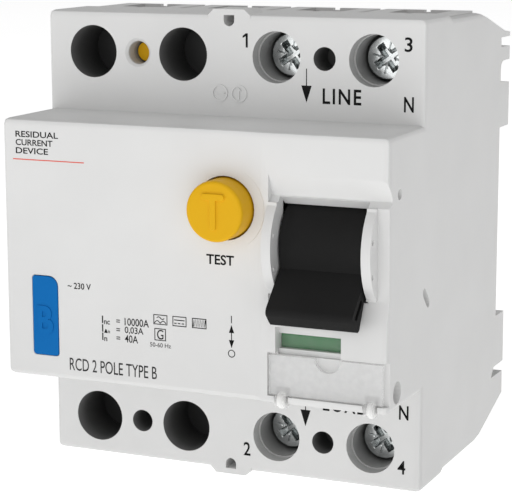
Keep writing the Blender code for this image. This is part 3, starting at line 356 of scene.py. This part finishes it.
def plastic(name, first, second, rough, grain=2400.0, bump=0.08, shine=0.5):
    return surface(name, first, second, rough, grain, bump, shine=shine)


def metal(name, first, second, rough, grain, bump, cloud):
    return surface(name, first, second, rough, grain, bump, cloud, 1.0)


def ink(name, first, second):
    return surface(name, first, second, (0.5, 0.65), 3000.0, 0.1, shine=0.1)


def grey(level):
    return (level,) * 3


MATERIALS = {
    "housing_white": housing_with_painted_bore_shade(),
    "base_grey": plastic("moulded_grey", (0.60, 0.60, 0.59), (0.64, 0.64, 0.63), (0.45, 0.6), 2200.0, 0.12),
    "lever_black": plastic(
        "moulded_black", grey(0.0155), grey(0.0185), (0.50, 0.60), bump=0.15, shine=0.04
    ),
    "button_yellow": plastic(
        "moulded_yellow", (0.70, 0.385, 0.006), (0.735, 0.41, 0.009), (0.40, 0.50), shine=0.10
    ),
    "plate_blue": plastic(
        "moulded_blue", (0.004, 0.140, 0.435), (0.006, 0.150, 0.460), (0.40, 0.50), shine=0.05
    ),
    "flag_green": plastic(
        "flag_green", (0.060, 0.215, 0.085), (0.070, 0.235, 0.095), (0.45, 0.6), bump=0.1, shine=0.1
    ),
    "clear_plastic": clear_surface("clear_plastic", (0.04, 0.07)),
    "zinc_steel": metal(
        "zinc_steel", (0.56, 0.57, 0.57), (0.70, 0.71, 0.71), (0.16, 0.34), 700.0, 0.12, 400.0
    ),
    "spring_steel": metal(
        "spring_steel", (0.42, 0.42, 0.43), (0.52, 0.52, 0.53), (0.2, 0.35), 900.0, 0.1, 500.0
    ),
    "brass": metal("brass", (0.66, 0.45, 0.16), (0.74, 0.52, 0.22), (0.22, 0.36), 900.0, 0.1, 300.0),
    "copper": metal("copper", (0.66, 0.30, 0.15), (0.76, 0.38, 0.22), (0.22, 0.38), 900.0, 0.1, 300.0),
    "board_green": board_surface(),
    "insulator_brown": plastic(
        "insulator_brown", (0.16, 0.06, 0.02), (0.24, 0.10, 0.04), (0.5, 0.65), 1500.0, 0.2
    ),
    "part_black": plastic("moulded_black_inner", grey(0.018), grey(0.028), (0.4, 0.55), 2000.0, 0.15),
    "clip_white": plastic("clip_white", (0.66, 0.66, 0.64), (0.71, 0.71, 0.69), (0.4, 0.5), 2200.0, 0.1),
}
INK_BLACK = ink("ink_black", grey(0.004), grey(0.007))
INK_GREY = ink("ink_grey", grey(0.030), grey(0.042))
INK_RED = ink("ink_red", (0.72, 0.10, 0.07), (0.80, 0.13, 0.09))
FLAP_CLEAR = clear_surface("flap_clear", (0.30, 0.32))
KNUCKLE_WHITE = plastic(
    "knuckle_white", (0.84, 0.84, 0.83), (0.87, 0.87, 0.86), (0.25, 0.35), 2600.0, 0.06
)
SCREW_STEEL = metal(
    "screw_steel", (0.55, 0.57, 0.57), (0.66, 0.68, 0.68), (0.12, 0.24), 900.0, 0.10, 500.0
)


def slot_of(node):
    return next(entry["material_slot"] for entry in frame["record"]["subparts"] if entry["node"] == node)


def body_of(node):
    return next(body for body, nodes in frame["record"]["behaviour"]["bodies"].items() if node in nodes)


def dress_frame():
    """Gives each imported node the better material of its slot."""
    for entry in frame["record"]["subparts"]:
        finish = MATERIALS[entry["material_slot"]]
        if entry["node"] == "secondary_winding":
            finish = winding_surface()
        for slot in frame["nodes"][entry["node"]].material_slots:
            slot.material = finish


# ---------------------------------------------------------------- mesh helpers


def link_mesh(name, shape, material):
    mesh = bpy.data.meshes.new(name)
    shape.to_mesh(mesh)
    shape.free()
    obj = bpy.data.objects.new(name, mesh)
    obj.data.materials.append(material)
    bpy.context.scene.collection.objects.link(obj)
    return obj


def smooth_by_angle(obj, degrees):
    obj.data.shade_smooth()
    obj.data.set_sharp_from_angle(angle=math.radians(degrees))


def copy_of(node):
    """The node's mesh with its seams joined and its flat faces whole again."""
    shape = bmesh.new()
    shape.from_mesh(frame["nodes"][node].data)
    bmesh.ops.remove_doubles(shape, verts=shape.verts, dist=0.0002 * MM)
    bmesh.ops.dissolve_limit(
        shape,
        angle_limit=math.radians(0.8),
        use_dissolve_boundaries=False,
        verts=shape.verts,
        edges=shape.edges,
        delimit=set(),
    )
    return shape


def round_edges(obj, width, segments):
    bevel = obj.modifiers.new("round_edges", "BEVEL")
    bevel.width = width * MM
    bevel.segments = segments
    bevel.limit_method = "ANGLE"
    bevel.angle_limit = math.radians(32)
    bevel.miter_outer = "MITER_ARC"
    bevel.harden_normals = False
    bevel.use_clamp_overlap = True
    weighted = obj.modifiers.new("even_shading", "WEIGHTED_NORMAL")
    weighted.keep_sharp = True
    weighted.weight = 80


def carve(obj, shape):
    """Cuts a hidden shape out of a piece."""
    bmesh.ops.recalc_face_normals(shape, faces=shape.faces)
    cutter = link_mesh(f"{obj.name}_cutter", shape, MATERIALS["housing_white"])
    made = obj.modifiers.new("carve", "BOOLEAN")
    made.operation = "DIFFERENCE"
    made.solver = "EXACT"
    made.object = cutter
    bpy.context.view_layer.update()
    graph = bpy.context.evaluated_depsgraph_get()
    mesh = bpy.data.meshes.new_from_object(obj.evaluated_get(graph))
    obj.modifiers.clear()
    obj.data = mesh
    bpy.data.objects.remove(cutter, do_unlink=True)


def rounded(node, width, segments=2, cutter=None, finish=None):
    """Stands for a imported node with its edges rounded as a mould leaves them."""
    slot = slot_of(node)
    obj = link_mesh(f"{node}_moulded", copy_of(node), finish or MATERIALS[slot])
    if cutter:
        carve(obj, cutter)
    obj.data.shade_smooth()
    round_edges(obj, width, segments)
    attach(obj, body_of(node))
    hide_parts(node)


def turn_profile(shape, profile, axis, centre, sides, sink=None):
    """Turns (along, radius) points about a line through centre along X or Y.

    sink(across, up) gives how far a point of the middle is pushed along the line.
    """
    rings = []
    for along, radius in profile:
        ring = []
        for side in range(sides if radius else 1):
            angle = 2 * math.pi * side / sides
            first, second = radius * math.cos(angle), radius * math.sin(angle)
            push = sink(first, second) if sink and radius < RECESS_REACH else 0.0
            if axis == "X":
                point = (centre[0] + along, centre[1] + first, centre[2] + second)
            else:
                point = (centre[0] + first, centre[1] + along + push, centre[2] + second)
            ring.append(shape.verts.new(mm(*point)))
        rings.append(ring)
    for first, second in zip(rings, rings[1:]):
        for side in range(sides):
            after = (side + 1) % sides
            corners = [first[side % len(first)], first[after % len(first)]]
            corners += [second[after % len(second)], second[side % len(second)]]
            shape.faces.new(list(dict.fromkeys(corners)))
    bmesh.ops.recalc_face_normals(shape, faces=shape.faces)


# ---------------------------------------------------------------- camera, floor and lights


def make_camera():
    data = bpy.data.cameras.new("camera")
    data.lens = CAMERA_LENS
    data.sensor_width = 36.0
    data.sensor_fit = "HORIZONTAL"
    data.clip_start = 0.01
    azimuth, elevation = CAMERA_AZIMUTH, CAMERA_ELEVATION
    across = math.cos(elevation)
    forward = Vector((-math.sin(azimuth) * across, math.cos(azimuth) * across, -math.sin(elevation)))
    right = Vector((math.cos(azimuth), math.sin(azimuth), 0))
    up = right.cross(forward)
    turned_right = right * math.cos(CAMERA_ROLL) + up * math.sin(CAMERA_ROLL)
    turned_up = up * math.cos(CAMERA_ROLL) - right * math.sin(CAMERA_ROLL)
    axes = Matrix((turned_right, turned_up, -forward)).transposed().to_4x4()
    camera = bpy.data.objects.new("camera", data)
    camera.matrix_world = Matrix.Translation(CAMERA_PLACE) @ axes
    bpy.context.scene.collection.objects.link(camera)
    bpy.context.scene.camera = camera


def area_light(name, place, target, size, power):
    data = bpy.data.lights.new(name, "AREA")
    data.shape = "SQUARE"
    data.size = size
    data.energy = power
    light = bpy.data.objects.new(name, data)
    aim = (Vector(target) - Vector(place)).to_track_quat("-Z", "Y").to_matrix().to_4x4()
    light.matrix_world = Matrix.Translation(place) @ aim
    bpy.context.scene.collection.objects.link(light)


def make_floor():
    shape = bmesh.new()
    bmesh.ops.create_grid(shape, x_segments=2, y_segments=2, size=FLOOR_REACH)
    bmesh.ops.translate(shape, verts=shape.verts, vec=(0, 0, FLOOR_Z))
    finish, nodes, links = new_material("pale_floor")
    shader = nodes["Principled BSDF"]
    coords = nodes.new("ShaderNodeTexCoord")
    tone = two_tone(nodes, links, noise(nodes, links, coords, 3.0), grey(0.90), grey(0.92))
    links.new(tone, shader.inputs["Base Color"])
    shader.inputs["Roughness"].default_value = 0.9
    shader.inputs["Specular IOR Level"].default_value = 0.1
    shader.inputs["Emission Color"].default_value = (1, 1, 1, 1)
    shader.inputs["Emission Strength"].default_value = FLOOR_GLOW
    floor = link_mesh("floor", shape, finish)


def make_stage():
    world = bpy.data.worlds.new("studio")
    world.use_nodes = True
    world.node_tree.nodes["Background"].inputs["Color"].default_value = (1, 1, 1, 1)
    world.node_tree.nodes["Background"].inputs["Strength"].default_value = WORLD_LIGHT
    bpy.context.scene.world = world
    bpy.context.scene.view_settings.view_transform = "Standard"
    make_floor()
    for light in LIGHTS:
        area_light(*light)


# ---------------------------------------------------------------- printing


def finish_print(obj, y):
    """Stands a flat shape made in X and Y at depth y, facing front, on the housing."""
    turn = Matrix(((1, 0, 0, 0), (0, 0, -1, y), (0, 1, 0, 0), (0, 0, 0, 1)))
    obj.data.transform(turn)
    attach(obj, "housing")


def text_mesh(name, words, bold, spacing):
    curve = bpy.data.curves.new(name, "FONT")
    curve.body = words
    curve.space_character = spacing
    curve.extrude = 0.5
    curve.offset = bold
    curve.resolution_u = 4
    curve.fill_mode = "BOTH"
    holder = bpy.data.objects.new(name, curve)
    bpy.context.scene.collection.objects.link(holder)
    bpy.context.view_layer.update()
    graph = bpy.context.evaluated_depsgraph_get()
    mesh = bpy.data.meshes.new_from_object(holder.evaluated_get(graph))
    bpy.data.objects.remove(holder, do_unlink=True)
    return mesh


def print_words(name, words, box, y, bold=PLAIN, spacing=1.0, material=INK_BLACK):
    """Raised-ink lettering that fills box, (left, bottom, width, height), on the plane at depth y."""
    left, bottom, width, height = box
    mesh = text_mesh(name, words, bold, spacing)
    corners = [vert.co for vert in mesh.vertices]
    low = Vector([min(c[i] for c in corners) for i in range(3)])
    high = Vector([max(c[i] for c in corners) for i in range(3)])
    size = high - low
    for vert in mesh.vertices:
        vert.co.x = (left + (vert.co.x - low.x) / size.x * width) * MM
        vert.co.y = (bottom + (vert.co.y - low.y) / size.y * height) * MM
        vert.co.z = (vert.co.z - low.z) / size.z * INK
    obj = bpy.data.objects.new(name, mesh)
    mesh.materials.clear()
    mesh.materials.append(material)
    bpy.context.scene.collection.objects.link(obj)
    finish_print(obj, y)
    return obj


def add_patch(shape, outline, rise=INK / MM):
    """A closed flat patch from an outline, raised by the ink's thickness or more."""
    face = shape.faces.new([shape.verts.new((x * MM, z * MM, 0)) for x, z in outline])
    made = bmesh.ops.extrude_face_region(shape, geom=[face])
    raised = [item for item in made["geom"] if isinstance(item, bmesh.types.BMVert)]
    bmesh.ops.translate(shape, verts=raised, vec=(0, 0, rise * MM))


def box_outline(x0, z0, x1, z1):
    return [(x0, z0), (x1, z0), (x1, z1), (x0, z1)]


def circle_points(x, z, radius, steps):
    angles = [2 * math.pi * i / steps for i in range(steps + 1)]
    return [(x + radius * math.cos(a), z + radius * math.sin(a)) for a in angles]


def ring_patches(x, z, outer, inner, steps):
    """Patches side by side that make a ring."""
    far = circle_points(x, z, outer, steps)
    near = circle_points(x, z, inner, steps)
    return [[far[i], far[i + 1], near[i + 1], near[i]] for i in range(steps)]


def line_outline(points, width):
    """The outline of a line of even width through the points."""
    sides = ([], [])
    for index, point in enumerate(points):
        here = Vector(point)
        before = Vector(points[max(index - 1, 0)])
        after = Vector(points[min(index + 1, len(points) - 1)])
        along = (after - before).normalized()
        across = Vector((-along.y, along.x)) * (width / 2)
        sides[0].append(tuple(here + across))
        sides[1].append(tuple(here - across))
    return sides[0] + sides[1][::-1]


def frame_patches(x0, z0, x1, z1):
    """Four bars that make a rectangular frame."""
    line = THIN_LINE
    return [
        box_outline(x0, z0, x1, z0 + line),
        box_outline(x0, z1 - line, x1, z1),
        box_outline(x0, z0 + line, x0 + line, z1 - line),
        box_outline(x1 - line, z0 + line, x1, z1 - line),
    ]


def patch_shape(outlines, rise=INK / MM):
    shape = bmesh.new()
    for outline in outlines:
        add_patch(shape, outline, rise)
    bmesh.ops.recalc_face_normals(shape, faces=shape.faces)
    return shape


def print_patches(name, outlines, y, material=INK_BLACK):
    finish_print(link_mesh(name, patch_shape(outlines), material), y)


# Words on the shelves: name, words, box as (left, bottom, width, height), thickening, spacing
SHELF_WORDS = (
    ("print_3", "3", (31.6, 34.5, 1.35, 2.4), PLAIN, 1.0),
    ("print_n_top", "N", (31.6, 24.6, 1.7, 2.55), 0.016, 1.0),
    ("print_line", "LINE", (17.2, 25.4, 6.9, 2.6), BOLD, WIDE_SPACING),
    ("print_2", "2", (2.5, -37.45, 1.3, 2.45), PLAIN, 1.0),
    ("print_4", "4", (31.25, -37.3, 1.4, 2.4), PLAIN, 1.0),
    ("print_n_bottom", "N", (31.4, -27.7, 1.7, 2.5), 0.016, 1.0),
    ("print_load", "LOAD", (17.5, -27.65, 8.2, 2.6), BOLD, WIDE_SPACING),
)
# Arrows on the shelves: name, then the heights of the stem's top, the head's base and its tip
SHELF_ARROWS = (("top", 31.2, 28.35, 25.5), ("bottom", -25.1, -27.9, -30.8))
ARROW_X = 14.27
ARROW_HALF_STEM = 0.08
ARROW_HALF_HEAD = 0.935


def print_shelves():
    y = SHELF_Y
    stroke = box_outline(3.12, 34.4, 3.5, 36.8)
    beak = [(3.12, 36.8), (2.55, 36.35), (2.55, 36.0), (3.12, 36.3)]
    print_patches("print_1", [stroke, beak], y)
    for name, words, box, bold, spacing in SHELF_WORDS:
        print_words(name, words, box, y, bold, spacing)
    for name, stem_top, head, tip in SHELF_ARROWS:
        stem = box_outline(ARROW_X - ARROW_HALF_STEM, head - 0.1, ARROW_X + ARROW_HALF_STEM, stem_top)
        arrow = [(ARROW_X - ARROW_HALF_HEAD, head), (ARROW_X, tip), (ARROW_X + ARROW_HALF_HEAD, head)]
        print_patches(f"print_arrow_{name}", [stem, arrow], y)


# Ratings: name, index, value, the row's height and the value's right end
RATINGS = (
    ("inrush", "nc", "10000A", -11.8, -7.5),
    ("residual", "Δn", "0,03A", -13.3, -8.55),
    ("rated", "n", "40A", -14.75, -9.6),
)
RATING_LEFT = -16.45
RATING_BARS = (-13.7, -13.0)
RATING_VALUE_LEFT = -12.1
RATING_HEIGHT = 1.3


def print_ratings():
    """Voltage and three ratings, each an I with its index, two bars and the value."""
    y = NOSE_Y
    print_words("print_volts", "~ 230 V", (-23.0, -6.3, 4.5, 1.1), y)
    bars_left, bars_right = RATING_BARS
    for name, index, value, z, right in RATINGS:
        print_words(f"print_{name}_i", "I", (RATING_LEFT, z, 0.22, RATING_HEIGHT), y)
        index_box = (RATING_LEFT + 0.4, z - 0.15, 0.55 * len(index), 0.68)
        print_words(f"print_{name}_index", index, index_box, y)
        value_box = (RATING_VALUE_LEFT, z, right - RATING_VALUE_LEFT, RATING_HEIGHT)
        print_words(f"print_{name}_value", value, value_box, y, 0.006)
        bars = [box_outline(bars_left, z + up, bars_right, z + up + 0.15) for up in (0.38, 0.72)]
        print_patches(f"print_{name}_equals", bars, y)


# Heading: its words with their widths, then its left end, first row, row pitch and letter height
HEADING = (("RESIDUAL", 8.3), ("CURRENT", 7.2), ("DEVICE", 6.3))
HEADING_LEFT = -32.6
HEADING_TOP = 19.35
HEADING_PITCH = 1.42
HEADING_HEIGHT = 1.05
HEADING_RULE = (-33.2, 15.45, -19.4, 15.62)
KIND_BOX = (-22.9, -20.65, 16.8, 2.2)
FREQUENCY_BOX = (-7.3, -15.0, 3.9, 0.75)


def print_headings():
    """The kind of device along the bottom of the nose, and in full at its top left."""
    y = NOSE_Y
    print_words("print_kind", "RCD 2 POLE TYPE B", KIND_BOX, y, FINE, material=INK_GREY)
    print_words("print_frequency", "50-60 Hz", FREQUENCY_BOX, y, 0.0, material=INK_GREY)
    for row, (words, width) in enumerate(HEADING):
        box = (HEADING_LEFT, HEADING_TOP - HEADING_PITCH * row, width, HEADING_HEIGHT)
        print_words(f"print_heading_{row}", words, box, y)
    print_patches("print_heading_rule", [box_outline(*HEADING_RULE)], y, INK_RED)


# Pictograms: three boxes in a row with their bottom and top, and the delay class's box below
PICTOGRAM_ROW = (-11.09, -9.36)
WAVE_BOX_X = (-6.62, -4.01)
DIRECT_BOX_X = (-3.05, -0.46)
FAST_BOX_X = (0.57, 3.23)
DELAY_BOX = (-6.46, -13.85, -4.32, -11.74)


def row_frame(ends):
    bottom, top = PICTOGRAM_ROW
    return frame_patches(ends[0], bottom, ends[1], top)


def wavy_line(left, middle, height, steps, half_waves, rectified=False):
    """A sine of steps tenths of a millimetre, its lower half turned up when rectified."""
    points = []
    for i in range(steps + 1):
        lift = math.sin(i * math.pi * half_waves / steps)
        points.append((left + 0.1 * i, middle + height * (abs(lift) if rectified else lift)))
    return line_outline(points, THIN_LINE)


def print_pictograms():
    """Boxed marks: the kinds of current that the device senses, and its delay class."""
    y = NOSE_Y
    middle = sum(PICTOGRAM_ROW) / 2
    wave = wavy_line(-6.0, middle + 0.275, 0.2, 14, 2)
    humps = wavy_line(-6.45, middle - 0.625, 0.42, 22, 2, rectified=True)
    print_patches("print_box_wave", row_frame(WAVE_BOX_X) + [wave, humps], y)
    left = DIRECT_BOX_X[0] + 0.3
    lines = [box_outline(left, -10.1, left + 1.95, -9.94)]
    lines += [box_outline(x, -10.66, x + 0.45, -10.5) for x in (left, left + 0.7, left + 1.4)]
    print_patches("print_box_direct", row_frame(DIRECT_BOX_X) + lines, y)
    zigzag = [(0.8 + 0.15 * i, middle + (0.62 if i % 2 else -0.62)) for i in range(16)]
    print_patches("print_box_fast", row_frame(FAST_BOX_X) + [line_outline(zigzag, 0.2)], y)
    print_patches("print_box_g", frame_patches(*DELAY_BOX), y)
    print_words("print_g", "G", (-5.98, -13.62, 1.2, 1.65), y, FINE)


# On and off marks: a bar, two arrowheads on a stem and a ring, one below the other
TEST_BOX = (3.3, 0.0, 5.0, 1.7)
SWITCH_X = 7.8
SWITCH_HALF_LINE = 0.07
SWITCH_HALF_HEAD = 0.47
SWITCH_BAR = (-9.65, -8.4)
SWITCH_TIPS = (-13.85, -9.95)
SWITCH_STEM = (-12.5, -11.3)
OFF_RING_Z = -14.8
OFF_RING_RADII = (0.66, 0.52)


def print_switch_marks():
    """TEST under the button, and on and off with a double arrow beside the lever."""
    y, x = NOSE_Y, SWITCH_X
    print_words("print_test", "TEST", TEST_BOX, y, 0.02)
    print_patches("print_off_ring", ring_patches(x, OFF_RING_Z, *OFF_RING_RADII, 24), y)
    near, far = x - SWITCH_HALF_HEAD, x + SWITCH_HALF_HEAD
    marks = [[(near, z), (far, z), (x, tip)] for z, tip in zip(SWITCH_STEM, SWITCH_TIPS)]
    for low, high in (SWITCH_BAR, SWITCH_STEM):
        marks.append(box_outline(x - SWITCH_HALF_LINE, low, x + SWITCH_HALF_LINE, high))
    print_patches("print_on_off_arrows", marks, y)


# ---------------------------------------------------------------- pieces


def make_type_letter():
    """A letter moulded on the type plate, in the plate's own blue."""
    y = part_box("type_plate")[0][1]
    letter = print_words("type_letter", "B", LETTER_BOX, y, BOLDER, material=MATERIALS["plate_blue"])
    letter.data.transform(Matrix.Translation(mm(0, -LETTER_RISE, 0)))
    for vert in letter.data.vertices:
        if vert.co.y > y - (LETTER_RISE + 0.01) * MM:
            vert.co.y = y


def fin_dimples():
    """Cutters for the small moulding dimples on the two guard fins."""
    shape = bmesh.new()
    turn = Matrix.Rotation(math.radians(90), 4, "Y")
    for fin_x in (FIN_INNER_X, FIN_OUTER_X):
        for z in DIMPLE_HEIGHTS:
            place = Matrix.Translation(mm(fin_x + DIMPLE_IN, DIMPLE_Y, z))
            bmesh.ops.create_cone(
                shape,
                cap_ends=True,
                segments=20,
                radius1=DIMPLE_RADIUS * MM,
                radius2=DIMPLE_RADIUS * MM,
                depth=DIMPLE_LENGTH * MM,
                matrix=place @ turn,
            )
    return shape


def make_knuckles():
    """Round white knuckles of the flap, which turn about its hinge."""
    for side, low, high in KNUCKLES:
        profile = [(low + along, radius) for along, radius in KNUCKLE_EDGE]
        profile += [(high - along, radius) for along, radius in reversed(KNUCKLE_EDGE)]
        shape = bmesh.new()
        turn_profile(shape, profile, "X", (0, *HINGE), ROUND_SIDES)
        knuckle = link_mesh(f"flap_knuckle_{side}", shape, KNUCKLE_WHITE)
        smooth_by_angle(knuckle, 50)
        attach(knuckle, "flap")


def recess_depth(u, v):
    """Depth of the cross recess and its four ticks below the screw's face, in millimetres."""
    a = abs(u * math.cos(SCREW_TURN) + v * math.sin(SCREW_TURN))
    b = abs(v * math.cos(SCREW_TURN) - u * math.sin(SCREW_TURN))
    long, short = max(a, b), min(a, b)
    side, end = (ARM_HALF_WIDTH - short) / ARM_SIDE_SLOPE, (ARM_REACH - long) / ARM_END_SLOPE
    arm = ARM_DEPTH * max(0.0, min(1.0, side, end))
    out = math.hypot(u, v)
    tick = 0.0
    if long - short < TICK_HALF_WIDTH and TICK_START < out < TICK_END:
        tick = TICK_DEPTH * (1 - (long - short) / TICK_HALF_WIDTH)
    centre = CENTRE_DEPTH * max(0.0, 1 - out / CENTRE_RADIUS)
    return max(arm, tick, centre)


def make_screw_heads():
    """Cross-slot screws with a rounded rim, each in place of its packed screw."""
    for number in (1, 2, 3, 4):
        low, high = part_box(f"terminal_screw_{number}")
        centre = ((low[0] + high[0]) / 2 / MM, 0, (low[2] + high[2]) / 2 / MM)
        face, tip = low[1] / MM, high[1] / MM
        under = face + HEAD_THICKNESS
        profile = [(face, RECESS_RING_STEP * ring) for ring in range(RECESS_RINGS + 1)]
        profile += [(face + along, radius) for along, radius in HEAD_RIM]
        profile += [(under - 0.2, HEAD_RADIUS), (under, HEAD_RADIUS - 0.25)]
        profile += [(under, SHANK_RADIUS), (tip - 0.5, SHANK_RADIUS), (tip, SHANK_END_RADIUS), (tip, 0.0)]
        shape = bmesh.new()
        turn_profile(shape, profile, "Y", centre, 3 * ROUND_SIDES, recess_depth)
        head = link_mesh(f"screw_{number}_crosshead", shape, SCREW_STEEL)
        smooth_by_angle(head, 28)
        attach(head, f"screw_{number}")
        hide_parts(f"terminal_screw_{number}")


def make_mould_marks():
    """Two raised rings beside the centre of the upper shelf, with a bar and an arrow in them."""
    outlines = []
    for x in MARK_CENTRES:
        outlines += ring_patches(x, MARK_HEIGHT, *MARK_RADII, ROUND_SIDES)
    z, half = MARK_HEIGHT, MARK_HALF_LINE
    bar_x, arrow_x = MARK_CENTRES
    outlines.append(box_outline(bar_x - 1.0, z - half, bar_x + 1.0, z + half))
    outlines.append(box_outline(arrow_x - half, z - 0.9, arrow_x + half, z + 0.5))
    outlines.append([(arrow_x - 0.5, z + 0.5), (arrow_x, z + 1.0), (arrow_x + 0.5, z + 0.5)])
    marks = link_mesh("mould_marks", patch_shape(outlines, MARK_RISE), MATERIALS["housing_white"])
    finish_print(marks, SHELF_Y)


def main():
    make_camera()
    make_stage()
    dress_frame()
    rounded("front_cover", 0.22, cutter=fin_dimples())
    rounded("rear_base", 0.25)
    rounded("toggle_lever", 0.35, 3)
    rounded("test_button", 0.12)
    rounded("type_plate", 0.12)
    rounded("label_flap", 0.12, finish=FLAP_CLEAR)
    make_knuckles()
    make_screw_heads()
    make_mould_marks()
    for side in ("left", "right"):
        rounded(f"rail_clip_{side}", 0.25)
    for number in (1, 2, 3, 4):
        rounded(f"base_screw_{number}", 0.15)
        rounded(f"lift_clamp_{number}", 0.2)
    print_shelves()
    print_ratings()
    print_headings()
    print_pictograms()
    print_switch_marks()
    make_type_letter()


main()
